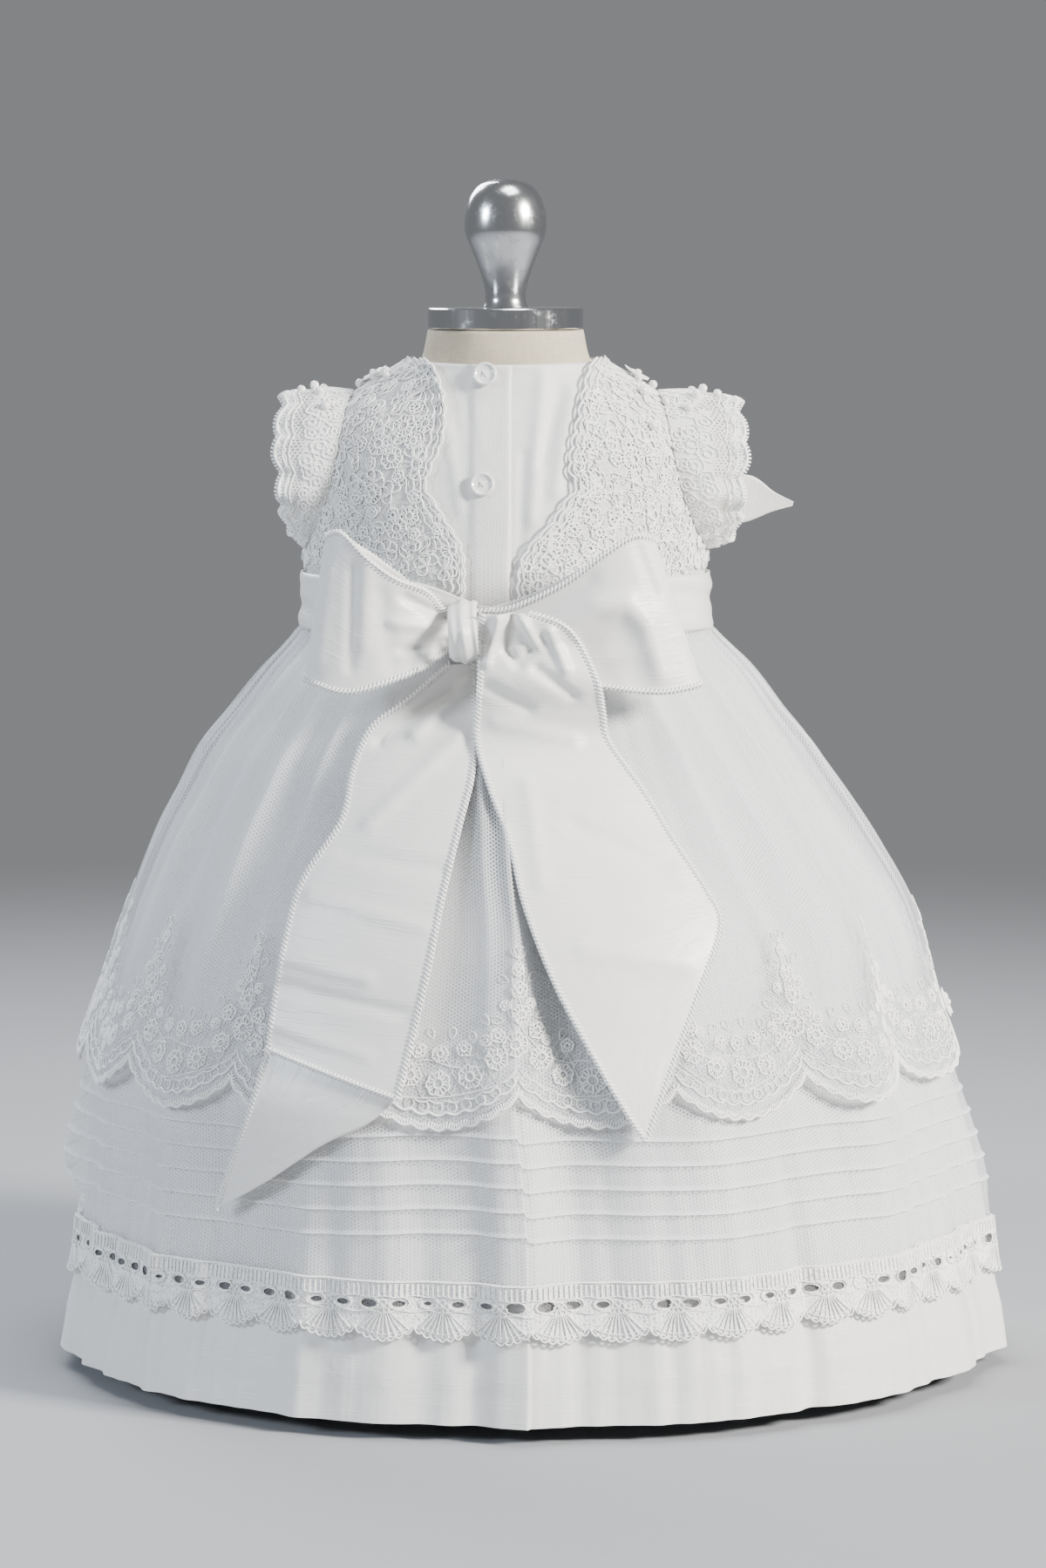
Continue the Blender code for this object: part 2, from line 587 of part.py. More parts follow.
def build_sleeves(lace):
    """A short lace cap round each armhole, standing straight out with a scalloped rim."""
    turn = np.radians(np.arange(24) * 15.0)
    z = ARMHOLE_Z + (ARMHOLE_HALF_HEIGHT + 1.0) * np.sin(turn)
    reach = (ARMHOLE_HALF_DEPTH + 1.0) * np.cos(turn)
    angle = np.degrees(np.arcsin(reach / smooth(TORSO, "half_depth", z)))
    scallop = np.where(np.arange(turn.size) % 2 == 0, 1.6, -0.8)
    outward = np.stack([0.0 * turn, np.cos(turn), np.sin(turn)], axis=-1)
    for sleeve in SLEEVES:
        facing = RIGHT_SIDE + angle if sleeve.way > 0 else 180.0 - angle
        root = on_torso(facing, z, SLEEVE_LIFT) / MM
        rim = np.stack([sleeve.way * (sleeve.rim_x + scallop + SLEEVE_FLARE * np.sin(turn)),
                        SLEEVE_RIM_HALF_DEPTH * np.cos(turn),
                        sleeve.rim_z + SLEEVE_RIM_HALF_HEIGHT * np.sin(turn)], axis=-1)
        middle = root * 0.45 + rim * 0.55
        middle[:, 1] *= 1.03
        grid = np.stack([root, middle, rim]) * MM
        wall(sleeve.name, grid, grid - outward * NET_WALL * MM, lace, closed=True)


# ---------------------------------------------------------------- skirts


def skirt_angles(first, last, z):
    """The columns of a skirt panel, each half a seam gap short of the seams at its ends."""
    count = int(round((last - first) / 360.0 * SKIRT_COLUMNS))
    angles = np.linspace(first, last, count + 1)[None, :] + 0.0 * z
    gap = np.degrees(0.5 * SEAM_GAP / (smooth(SKIRT, "half_width", z) * 0.8))
    angles[:, :1] += gap
    angles[:, -1:] -= gap
    return angles


def skirt_sheet(first, last, heights, lifts):
    """One face of a skirt panel, from its heights and how far each row stands off."""
    z = np.array(heights, float)[:, None]
    lift = np.array(lifts, float)[:, None]
    return on_skirt(skirt_angles(first, last, z), z, lift)


def scalloped_edge(angle):
    """Height of the overskirt's lace edge: round scallops that hang lower at the left back."""
    swing = np.abs(np.sin(np.radians(angle - BACK) * SCALLOPS * 0.5))
    top = SCALLOP_TOP - SCALLOP_TILT * np.cos(np.radians(angle + 110.0))
    return top - SCALLOP_DEPTH * swing ** 0.75


def underskirt(name, first, last, material):
    """The satin skirt: the innermost layer, which reaches nearest the floor."""
    outer_z = (HEM_Z, 30.0, EDGING_TOP + SEAM_GAP, 125.0) + SKIRT_LEVELS + (WAIST_Z,)
    inner_z = (HEM_Z, 75.0, 145.0, 220.0, 280.0, 322.0, WAIST_Z)
    outer = skirt_sheet(first, last, outer_z, [0.0] * len(outer_z))
    inner = skirt_sheet(first, last, inner_z, [-SATIN_WALL] * len(inner_z))
    wall(name, outer, inner, material)


def tucked_skirt(name, first, last, material):
    """The net skirt with five tucks: each tuck's folded edge stands out over the one below."""
    heights = [EDGING_TOP + SEAM_GAP]
    lips = [0.0]
    for tuck in TUCK_HEIGHTS:
        heights += [tuck - 0.4, tuck]
        lips += [0.0, TUCK_LIP]
    top = (139.0,) + SKIRT_LEVELS + (WAIST_Z,)
    outer_z = heights + list(top)
    lips += [0.0] * len(top)
    inner_z = (EDGING_TOP + SEAM_GAP, 125.0) + SKIRT_LEVELS + (WAIST_Z,)
    lift = smooth(SKIRT, "tuck_lift", np.array(outer_z)) + np.array(lips)
    outer = skirt_sheet(first, last, outer_z, lift)
    inner_lift = smooth(SKIRT, "tuck_lift", np.array(inner_z)) - NET_WALL
    wall(name, outer, skirt_sheet(first, last, inner_z, inner_lift), material)


def overskirt(name, first, last, material):
    """The outer net skirt, with its scalloped lace edge."""
    rows = SKIRT_LEVELS + (SASH_BOTTOM - SEAM_GAP - 1.2,)
    z = np.array((0.0,) + rows)[:, None]
    angles = skirt_angles(first, last, np.maximum(z, 140.0))
    z = z + 0.0 * angles
    z[0] = scalloped_edge(angles[0])
    lift = smooth(SKIRT, "over_lift", z)
    outer = on_skirt(angles, z, lift)
    inner = on_skirt(angles, z, lift - NET_WALL)
    wall(name, outer, inner, material)


def lace_edging(name, first, last, material):
    """The thick lace sewn below the tucked skirt, scalloped along its lower edge."""
    count = int(round((last - first) / 360.0 * EDGING_SCALLOPS)) * EDGING_COLUMNS
    z = np.array((0.0, EDGING_TOP))[:, None]
    angles = np.linspace(first, last, count + 1)[None, :] + 0.0 * z
    angles[:, 0] += 0.05
    angles[:, -1] -= 0.05
    z = z + 0.0 * angles
    swing = np.abs(np.sin(np.radians(angles[0] - BACK) * EDGING_SCALLOPS * 0.5))
    z[0] = EDGING_NOTCH - EDGING_SCALLOP_DEPTH * swing ** 0.7
    wall(name, on_skirt(angles, z, EDGING_LIFT + EDGING_WALL),
         on_skirt(angles, z, EDGING_LIFT), material)


def build_skirts(satin, net, lace):
    """Four gores of satin, and over them three panels of each net skirt and of the edging."""
    gores = (("front_right", RIGHT_SIDE, FRONT), ("front_left", FRONT, 180.0),
             ("back_left", LEFT_SIDE, BACK), ("back_right", BACK, RIGHT_SIDE))
    for place, first, last in gores:
        underskirt("underskirt_" + place, first, last, satin)
    panels = (("front", RIGHT_SIDE, 180.0), ("back_left", LEFT_SIDE, BACK),
              ("back_right", BACK, RIGHT_SIDE))
    for place, first, last in panels:
        tucked_skirt("tucked_skirt_" + place, first, last, net)
        overskirt("overskirt_" + place, first, last, net)
        lace_edging("lace_edging_" + place, first, last, lace)


# ---------------------------------------------------------------- sash and bow


def build_sash(satin):
    """The band round the waist, a closed ring with a soft crease along its middle."""
    angles = np.arange(36) * 10.0
    z = np.array((SASH_BOTTOM, 352.0, SASH_TOP))[:, None]
    lift = np.array((SASH_LIFT, SASH_LIFT - 0.2, SASH_LIFT))[:, None]
    outer = on_torso(angles[None, :] + 0.0 * z, z, lift + SATIN_WALL)
    inner = on_torso(angles[None, :] + 0.0 * z, z, lift)
    wall("sash_band", outer, inner, satin, closed=True)


def resample(rows, count):
    """Spread a table of sections evenly along a smooth curve through its rows."""
    table = np.array(rows, float)
    at = np.linspace(0.0, len(rows) - 1.0, count)
    cell = np.minimum(at.astype(int), len(rows) - 2)
    part = (at - cell)[:, None]
    before = table[np.maximum(cell - 1, 0)]
    start = table[cell]
    end = table[cell + 1]
    after = table[np.minimum(cell + 2, len(rows) - 1)]
    cubic = (3.0 * (start - end) + after - before) * part**3
    square = (2.0 * before - 5.0 * start + 4.0 * end - after) * part**2
    return start + 0.5 * ((end - before) * part + square + cubic)


def bow_loop(name, rows, upwards, material):
    """A band of ribbon that leaves the knot, turns at its far end and comes back."""
    sections = resample(rows, 21)
    across = np.linspace(0.0, 1.0, 5)[None, :, None]
    low = sections[:, None, [0, 4, 1]]
    high = sections[:, None, [2, 4, 3]]
    grid = (low * (1.0 - across) + high * across) * MM
    thick_sheet(name, grid if upwards else grid[:, ::-1], SATIN_WALL, material)


def knot_rings(shrink):
    """The knot's rings of points, made smaller by an amount in mm for its inside."""
    turn = np.radians(np.arange(16) * 22.5)
    rings = [np.stack([0.0 * turn + ring.x,
                       KNOT_Y + (ring.half_depth - shrink) * np.cos(turn),
                       KNOT_Z + (ring.half_height - shrink) * np.sin(turn)], axis=-1)
             for ring in KNOT]
    return np.stack(rings) * MM


def build_bow(satin):
    """Two loops and the knot between them."""
    bow_loop("bow_loop_left", LEFT_LOOP, True, satin)
    bow_loop("bow_loop_right", RIGHT_LOOP, False, satin)
    wall("bow_knot", knot_rings(0.0), knot_rings(KNOT_WALL), satin, closed=True)


def tail_grid(rows, count, columns):
    """The outer face of a hanging end, draped on the skirt's smooth surface."""
    sections = resample(rows, count)
    across = np.linspace(0.0, 1.0, columns)[None, :]
    left_x, left_z, right_x, right_z, left_off, right_off = (
        sections[:, k][:, None] for k in range(6))
    x = left_x * (1.0 - across) + right_x * across
    z = left_z * (1.0 - across) + right_z * across
    off = left_off * (1.0 - across) + right_off * across
    y = -(skirt_depth(x, z) + smooth(SKIRT, "over_lift", z) + off)
    return np.stack([x, y, z], axis=-1) * MM


def build_tails(satin):
    """The left end, turned over near its tip, and the right end, cut to a slant."""
    left = tail_grid(LEFT_TAIL, 19, 5)
    right = tail_grid(RIGHT_TAIL, 18, 5)
    thick_sheet("bow_tail_left", left[::-1], SATIN_WALL, satin)
    thick_sheet("bow_tail_right", right[::-1], SATIN_WALL, satin)


def build_front_ribbon(satin):
    """The pointed end of a ribbon that is sewn to the front of the bodice at the right."""
    columns = [on_torso(RIBBON_ROOT_ANGLE, np.array([405.0, 386.0]), RIBBON_ROOT_LIFT)]
    for column in FRONT_RIBBON:
        columns.append(np.array([(column.high_x, column.y, column.high_z),
                                 (column.low_x, column.y, column.low_z)]) * MM)
    thick_sheet("front_ribbon_end", np.stack(columns), NET_WALL, satin)


# ---------------------------------------------------------------- buttons and flowers


def set_on(item, middle, outward):
    """Move a piece that was made round the vertical axis onto a surface."""
    outward = np.asarray(outward) / np.linalg.norm(outward)
    side = np.cross((0.0, 0.0, 1.0), outward)
    side = side / np.linalg.norm(side)
    up = np.cross(outward, side)
    for vertex in item.data.vertices:
        x, y, z = vertex.co
        vertex.co = tuple(middle + side * x + up * y + outward * z)
    item.data.update()


def build_buttons(pearl):
    """Two round buttons with a raised rim."""
    for button in BUTTONS:
        item = turned(button.name, BUTTON_PROFILE, 16, pearl)
        angle = back_angle(button.x, button.z)
        middle = on_torso(angle, button.z, button.lift)
        above = on_torso(angle, button.z, button.lift + 1.0)
        set_on(item, middle, above - middle)


def build_flowers(satin):
    """Five-petalled cloth flowers, thin and slightly wider at the top."""
    turn = np.radians(np.arange(PETALS * 3) * 360.0 / (PETALS * 3))
    petal = 0.72 + 0.28 * np.cos(PETALS * turn)
    for flower in FLOWERS:
        rings = []
        for scale, height in ((0.9, 0.0), (1.0, PETAL_HEIGHT)):
            radius = flower.radius * petal * scale
            rings.append(np.stack([radius * np.cos(turn), radius * np.sin(turn),
                                   0.0 * turn + height], axis=-1) * MM)
        item = stack(flower.name, rings, satin)
        surface = on_torso if flower.surface == "torso" else on_skirt
        middle = surface(flower.angle, flower.z, flower.lift)
        above = surface(flower.angle, flower.z, flower.lift + 1.0)
        set_on(item, middle, above - middle)


def main():
    for item in list(bpy.data.objects):
        bpy.data.objects.remove(item, do_unlink=True)
    satin = finish("ivory_satin", (0.90, 0.89, 0.86), 0.45)
    net = finish("white_net", (0.93, 0.94, 0.96), 0.60)
    lace = finish("white_lace", (0.95, 0.95, 0.94), 0.70)
    linen = finish("beige_linen", (0.60, 0.54, 0.43), 0.85)
    metal = finish("polished_steel", (0.62, 0.63, 0.64), 0.22, 1.0)
    pearl = finish("pearl_button", (0.86, 0.86, 0.84), 0.20)
    build_form(linen, metal)
    build_bodice(satin)
    build_lace(lace)
    build_sleeves(lace)
    build_skirts(satin, net, lace)
    build_sash(satin)
    build_bow(satin)
    build_tails(satin)
    build_front_ribbon(satin)
    build_buttons(pearl)
    build_flowers(satin)


main()
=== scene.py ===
"""Christening gown on a dress form: cloth, net, lace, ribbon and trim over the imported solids.

Tables are in millimetres and degrees, as on a pattern sheet, and meshes are in metres.  The angle
-90 is the middle of the back, 0 the wearer's right side and 90 the middle of the front.
"""
import math
import random
from collections import namedtuple

import bpy
import numpy as np
from bpy.props import FloatProperty, FloatVectorProperty, PointerProperty
from bpy.types import Operator, Panel, PropertyGroup
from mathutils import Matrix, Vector


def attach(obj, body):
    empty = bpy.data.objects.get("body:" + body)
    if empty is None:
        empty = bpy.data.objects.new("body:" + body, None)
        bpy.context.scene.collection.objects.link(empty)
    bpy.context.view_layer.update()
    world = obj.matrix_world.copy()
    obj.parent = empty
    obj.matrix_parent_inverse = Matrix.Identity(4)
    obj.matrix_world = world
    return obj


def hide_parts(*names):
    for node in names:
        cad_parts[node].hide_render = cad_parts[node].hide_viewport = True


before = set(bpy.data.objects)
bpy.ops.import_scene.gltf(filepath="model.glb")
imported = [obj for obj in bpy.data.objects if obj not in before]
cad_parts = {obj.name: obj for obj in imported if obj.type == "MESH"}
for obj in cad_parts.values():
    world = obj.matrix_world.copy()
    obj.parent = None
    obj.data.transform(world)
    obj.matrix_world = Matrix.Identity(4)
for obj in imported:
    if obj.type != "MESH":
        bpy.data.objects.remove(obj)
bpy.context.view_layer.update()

bl_info = {
    "name": "Christening Gown",
    "version": (1, 0, 0),
    "blender": (4, 5, 0),
    "location": "View3D > Sidebar > Gown",
    "description": "Makes the cloth, lace and trim of a christening gown on its dress form",
    "category": "Add Mesh",
}

MM = 0.001
BACK = -90.0
FRONT = 90.0
LEFT_SIDE = -180.0

HEM_Z = 7.5
WAIST_Z = 334.0
SKIRT_TOP = 344.0
NECK_Z = 461.0
SASH_BOTTOM = 339.5
SASH_TOP = 365.0
ARMHOLE_Z = 410.0
ARMHOLE_HALF_HEIGHT = 33.0
ARMHOLE_HALF_DEPTH = 28.0
GATHERS = 18
SCALLOPS = 18
SCALLOP_TOP = 153.0
SCALLOP_DEPTH = 15.0
SCALLOP_TILT = 4.0
RIPPLES = SCALLOPS * 9
TUCK_HEIGHTS = (87.0, 97.5, 108.0, 118.5, 129.0)
EDGING_REPEATS = 52
EDGING_NOTCH = 49.0
EDGING_DEPTH = 5.0
EDGING_ROUND = 0.7
EDGING_TOP = 68.4
LAP_EDGE_X = 3.0
LAP_UNDER_X = -11.5
LAP_RAMP_X = (-17.0, -13.0)
LAP_RISE = 1.4
CLOTH = 1.1
FORM_BOTTOM = 239.0
FORM_EASE = 1.5
BODICE_LIFT = 0.6
LACE_FOOT = 356.0
LACE_LIFT = 3.2
SLEEVE_LIFT = 5.7
SASH_LIFT = 4.9
FOLD_FADE = 60.0
KNOT_Y = -99.1
KNOT_Z = 345.0
FLOOR_Z = -0.4
FLOOR_RADIUS = 3000.0
# Millimetres to a degree, round the overskirt's edge and round the lace edging.
SCALLOP_SCALE = 3.21
EDGING_SCALE = 3.6
ROOM_COLOUR = (0.60, 0.615, 0.64, 1.0)
ROOM_LIGHT = 0.38
CAMERA_PITCH = 6.33
CAMERA_LENS = 114.36
# The camera's place and the stitches' sizes are in metres.
CAMERA_AT = (0.008, -2.30, 0.521)
FINE_STITCH = {"Length": 0.0034, "Thickness": 0.00042}

# ---------------------------------------------------------------- tables of the form


def table(columns, *rows):
    """Rows whose columns have names."""
    row = namedtuple("Row", columns)
    return tuple(row(*values) for values in rows)


TORSO = table(
    "z half_width half_depth",
    (239, 50, 38), (243, 72, 54), (257, 84, 65), (282, 89, 70), (312, 90, 70), (341, 89.5, 68),
    (367, 88.5, 66), (392, 88, 62), (412, 87, 57), (427, 83, 51), (437, 76, 46), (445, 66, 42),
    (452, 55, 40), (458, 45, 38.5), (464, 40, 38.4), (476.3, 37.2, 37.2))
SKIRT = table(
    "z half_width depth_ratio middle_x gather tuck_lift over_lift",
    (0, 220.5, 0.88, 11, 2, 1.6, 4.5), (26, 216, 0.88, 11.5, 2.1, 1.6, 4.5),
    (48, 210.5, 0.88, 11.4, 2.2, 1.6, 4.5), (80, 205.5, 0.88, 10.8, 2.4, 1.6, 4.5),
    (112, 201, 0.878, 8.5, 2.5, 1.7, 4.5), (142, 196, 0.876, 5.6, 2.6, 2, 4.6),
    (170, 186.5, 0.872, 5.9, 2.7, 2.6, 5), (206, 174.5, 0.865, 6.2, 2.7, 3.4, 6.4),
    (243, 155, 0.85, 3.2, 2.6, 4.4, 8.4), (261, 144, 0.84, 2.2, 2.5, 4.7, 9.2),
    (280, 133, 0.83, 1, 2.2, 4.5, 9.2), (297, 121.5, 0.815, 1, 1.9, 3.7, 7.5),
    (317, 108.5, 0.795, 1, 1.3, 2.7, 5.6), (335, 94, 0.77, 0.3, 0.8, 1.8, 4.2),
    (341, 91.1, 0.766, 0, 0.5, 1.4, 3.6))
FOLDS = table(
    "angle width height top bottom",
    (-158, 8, 3, 300, 60), (-149, 6, -4.5, 310, 70), (-140, 7, 4.5, 315, 40),
    (-131, 6, -4, 320, 70), (-112, 7, 2, 290, 10), (-92, 6, 2.6, 320, 30), (-84, 5, -6, 315, 70),
    (-66, 8, 2.5, 280, 10), (-49, 6, -4, 315, 70), (-39, 7, 4, 315, 25), (-27, 6, -4.5, 310, 70),
    (-14, 8, 3.5, 300, 60), (12, 6, -4, 310, 70), (31, 8, 4, 315, 40), (54, 6, -4.5, 315, 60),
    (76, 8, 3, 300, 50), (101, 6, -4, 315, 60), (122, 8, 4, 315, 30), (146, 6, -4.5, 310, 70),
    (166, 8, 3.5, 300, 50), (-154, 2.6, -2.8, 130, -60), (-141, 2, 2, 120, -60),
    (-119, 2.2, 2.4, 140, -60), (-103, 2, -2.2, 120, -60), (-71, 2.4, 2.2, 120, -60),
    (-55, 2, -2, 130, -60), (-33, 2.2, -2.6, 130, -60), (-10, 2.4, 2.4, 130, -60),
    (22, 2.2, -2.2, 130, -60), (44, 2.5, 2.4, 130, -60), (67, 2.2, -2.2, 120, -60),
    (91, 2.6, 2.2, 130, -60), (113, 2.2, -2.4, 130, -60), (136, 2.4, 2.4, 120, -60),
    (158, 2.2, -2.2, 130, -60))
# Narrow pleats of the net overskirt alone: they start at one angle and end at another.
PLEATS = table(
    "top_angle low_angle width height top bottom",
    (-171, -172, 1.6, 2.6, 330, 190), (-163, -168, 1.3, 2.2, 335, 200),
    (-152, -159, 1.8, 3, 335, 160), (-141, -149, 1.2, 2.4, 338, 190),
    (-133, -141, 1.5, 2.8, 335, 150), (-124, -130, 1.1, 2, 338, 200),
    (-113, -116, 1.4, 2.4, 335, 210), (-95, -93.6, 0.9, 2.6, 325, 140),
    (-91, -90.2, 0.9, 2.6, 325, 140), (-72, -68, 1.4, 1.8, 335, 200),
    (-58, -51, 1.3, 2.2, 338, 180), (-49, -43, 1, 2, 338, 210), (-38, -30, 1.5, 2.6, 335, 170),
    (-27, -19, 1.2, 2.4, 338, 190), (-15, -9, 1.6, 2.8, 335, 180), (-4, 1, 1.4, 2.4, 335, 170),
    (14, 18, 1.5, 2.4, 335, 180), (28, 34, 1.3, 2.2, 335, 190), (45, 50, 1.6, 2.6, 335, 170),
    (63, 66, 1.3, 2, 335, 200), (82, 83, 1.5, 2.4, 335, 180), (99, 96, 1.4, 2.2, 335, 190),
    (117, 112, 1.6, 2.6, 335, 170), (134, 128, 1.3, 2.2, 335, 190), (152, 147, 1.5, 2.4, 335, 180),
    (170, 168, 1.4, 2.4, 335, 180))
LACE_EDGE = table(
    "z left_x right_x",
    (365, -18.5, 6), (373, -18.5, 7.5), (381, -20.5, 12), (389, -25.5, 19.8), (399, -31.5, 26.4),
    (406, -35.6, 31.5), (414, -33.1, 28.4), (426, -28, 29.9), (436, -26.6, 32.5), (444, -27, 33.6),
    (454, -29.5, 35.8), (462, -33.5, 38.5))
SLEEVES = table(
    "name way rim_x rim_z",
    ("cap_sleeve_left", -1, 103.5, 412), ("cap_sleeve_right", 1, 108.5, 409.5))
LEFT_LOOP = table(
    "low_x low_z high_x high_z y",
    (-22.5, 336, -22.5, 354, -105), (-26, 335.6, -26, 354.6, -106), (-36, 329, -34, 364.5, -113),
    (-52, 322.8, -48, 370.5, -118), (-69, 318.4, -61, 380, -117.5), (-82, 321, -72, 390.5, -113),
    (-89, 323.5, -79, 388, -104), (-84, 325, -75, 388, -95), (-69, 322.5, -62, 381, -91),
    (-48, 327, -47, 370, -90.5), (-26, 336.4, -26, 353.8, -96), (-22.5, 336.4, -22.5, 353.8, -96.5))
RIGHT_LOOP = table(
    "low_x low_z high_x high_z y",
    (-14.5, 334.8, -14.5, 355.2, -103), (-11, 334.8, -11, 355.2, -103.4),
    (4, 333.5, 3, 357, -106.5), (28, 324, 26, 368, -111.5), (50, 319.5, 44, 381.5, -113.5),
    (70, 317.8, 57, 389, -110.5), (86.5, 320.5, 66, 387, -102.5), (83, 323, 62, 386, -94.5),
    (64, 320, 54, 386, -91), (38, 325, 37, 374, -90), (12, 334, 12, 361, -91),
    (-11, 336, -11, 354, -94), (-14.5, 336, -14.5, 354, -94.5))
KNOT = table(
    "x half_depth half_height",
    (-24.8, 23.4, 11.5), (-21.5, 25.9, 13.6), (-18, 26.2, 14.2), (-14.8, 25.9, 13.8),
    (-12, 24.4, 12.6))
LEFT_TAIL = table(
    "left_x left_z right_x right_z left_off right_off",
    (-26, 329.8, -13.5, 330.6, 19, 19), (-44, 314, -12.5, 317, 9, 8), (-60, 302, -12, 299, 8, 7),
    (-68, 285, -13.5, 282, 7, 6.5), (-73, 263, -19, 261, 8, 7.5), (-90, 237, -26, 232.5, 8, 7.5),
    (-97.5, 211, -32, 203, 7.5, 7.5), (-102.8, 180, -38, 177.5, 7.5, 7.5),
    (-104.6, 164.4, -45.7, 147, 7.5, 8))
LEFT_TIP = table(
    "left_x left_z right_x right_z left_off right_off",
    (-102.6, 182.4, -42, 164, 5.6, 6), (-104.4, 166.4, -44.5, 152, 5.8, 6.2),
    (-108, 153, -58, 138, 5.5, 5.6), (-113.8, 135, -80, 126, 5.2, 5.2),
    (-121.5, 113, -105, 108, 5.2, 5.2), (-127.6, 94.5, -126.4, 94, 5.2, 5.2))
RIGHT_TAIL = table(
    "left_x left_z right_x right_z left_off right_off",
    (-11.2, 354, 12, 354.5, 48.5, 46), (-11.5, 345, 29, 347.5, 44, 48),
    (-12, 328, 41, 326.5, 36, 41), (-13, 312, 44.5, 310, 19, 21), (-13.2, 297, 47, 297, 10, 9),
    (-7.3, 277.6, 61.9, 276.5, 8.5, 7), (1.1, 256, 75.1, 255.4, 7.5, 6.5),
    (8, 229, 90, 233, 7.5, 7), (21.2, 196.4, 95.5, 219, 7, 7), (38.2, 165, 86.5, 194, 6.5, 6.5),
    (52, 142, 72, 156.5, 6, 6), (60, 129.8, 63, 132, 6, 6))
# Creases seen from the back: a line from one point to another, its half width and its height.
BODICE_CREASES = table(
    "x0 z0 x1 z1 width height",
    (16.5, 456, 11.5, 392, 3.2, 1.5), (24.5, 450, 16.5, 416, 2.6, -1.1),
    (30, 447, 22, 404, 3, 1.2), (-21.5, 447, -15, 420, 3.2, -1), (8, 420, 6.5, 372, 2.2, -0.9),
    (-26, 432, -20, 396, 2.6, 0.9), (-4, 452, -6, 424, 3, -0.5), (36, 440, 30, 418, 2.4, -0.9))
LEFT_LOOP_CREASES = table(
    "x0 z0 x1 z1 width height",
    (-66.4, 374, -68, 330, 2.4, -1), (-60.5, 376, -61.5, 340, 3.6, 0.9),
    (-27, 352, -44, 361, 2.2, -2), (-27, 347, -50, 350, 2.6, 1.4), (-27, 341, -46, 338, 2, -1.8),
    (-27, 344, -38, 330, 2, 1.2), (-78, 372, -83, 332, 3, 1.2), (-54, 362, -50, 332, 4, -0.9))
RIGHT_LOOP_CREASES = table(
    "x0 z0 x1 z1 width height",
    (27, 346, 40, 356, 5, 2.2), (40, 356, 54, 358, 5, 2.4), (54, 358, 62.5, 349, 5, 2.4),
    (62.5, 349, 69, 327, 5, 2.2), (36, 340, 50, 342, 11, -2.8), (44, 330, 56, 328, 11, -2.2),
    (58, 384, 66, 362, 2.6, -0.8), (16, 352, 38, 368, 3, -0.9), (12, 344, 30, 338, 3, 1))
RIGHT_TAIL_CREASES = table(
    "x0 z0 x1 z1 width height",
    (-3, 352, -8, 332, 2, 2.2), (3, 353, 0.5, 338, 2, -2.2), (0.5, 338, 5.5, 332, 2, -2),
    (5.5, 332, 12, 338, 2, -1.8), (8, 351, 13.5, 341, 2.2, 1.6), (20, 346, 27, 330, 2.4, 1.8),
    (14, 330, 30, 318, 2.6, -1.6), (-8, 322, 10, 312, 3, -1.2), (-4, 306, 30, 298, 4, 0.9),
    (10, 280, 16, 240, 3.6, 0.8), (30, 262, 70, 244, 4, -0.7), (35, 212, 80, 204, 5, 0.8))
LEFT_TAIL_CREASES = table(
    "x0 z0 x1 z1 width height",
    (-16, 322, -40, 300, 3, 1.8), (-24, 318, -56, 296, 2.6, -1.6), (-20, 300, -60, 262, 3.6, 1.2),
    (-98, 205, -60, 198, 3.4, 0.8), (-100, 193, -44, 184, 2.4, -0.8), (-86, 232, -34, 220, 3, 0.7),
    (-70, 250, -28, 244, 3.4, -0.7), (-102, 176, -60, 166, 3, 0.6))
CAP_PROFILE = table(
    "radius z",
    (35.3, 476.6), (35.8, 477.2), (35.8, 485.6), (35.2, 486.2))
KNOB_PROFILE = table(
    "radius z",
    (10.5, 486.5), (9.4, 490), (9.8, 495), (11.6, 502), (15.4, 512), (18.3, 519), (19, 524),
    (18.3, 531), (16, 537.5), (11.5, 542.5), (5.5, 544.7))
BUTTON_PROFILE = table(
    "radius height",
    (4.6, 0), (5.4, 0.5), (5.5, 1.2), (5.35, 1.8), (4.9, 2.1), (4.4, 2), (4, 1.5), (3.4, 1.25),
    (0.4, 1.2))
BUTTONS = table(
    "name x z lift",
    ("button_upper", -8.5, 455.5, 4.2), ("button_lower", -10, 407, 3.35))
FRONT_RIBBON = table(
    "low_x low_z high_x high_z y",
    (80, 386, 80, 405, 47.3), (95, 385.5, 96, 406, 46.6), (111.2, 384.7, 114.7, 406.9, 46.2),
    (125, 389.8, 126.5, 399, 46), (134.8, 392.6, 135.3, 394.6, 46))
FLOWERS = table(
    "name surface angle z lift radius",
    ("flower_shoulder_left", "torso", -174, 450.5, 5, 7),
    ("flower_shoulder_right", "torso", -6, 450.5, 5, 7),
    ("flower_waist_left", "torso", 168, 372.5, 4.9, 6.5),
    ("flower_waist_right", "torso", 12, 372.5, 4.8, 6.5),
    ("flower_skirt_right", "skirt", -9, 165, 5.9, 7.5))
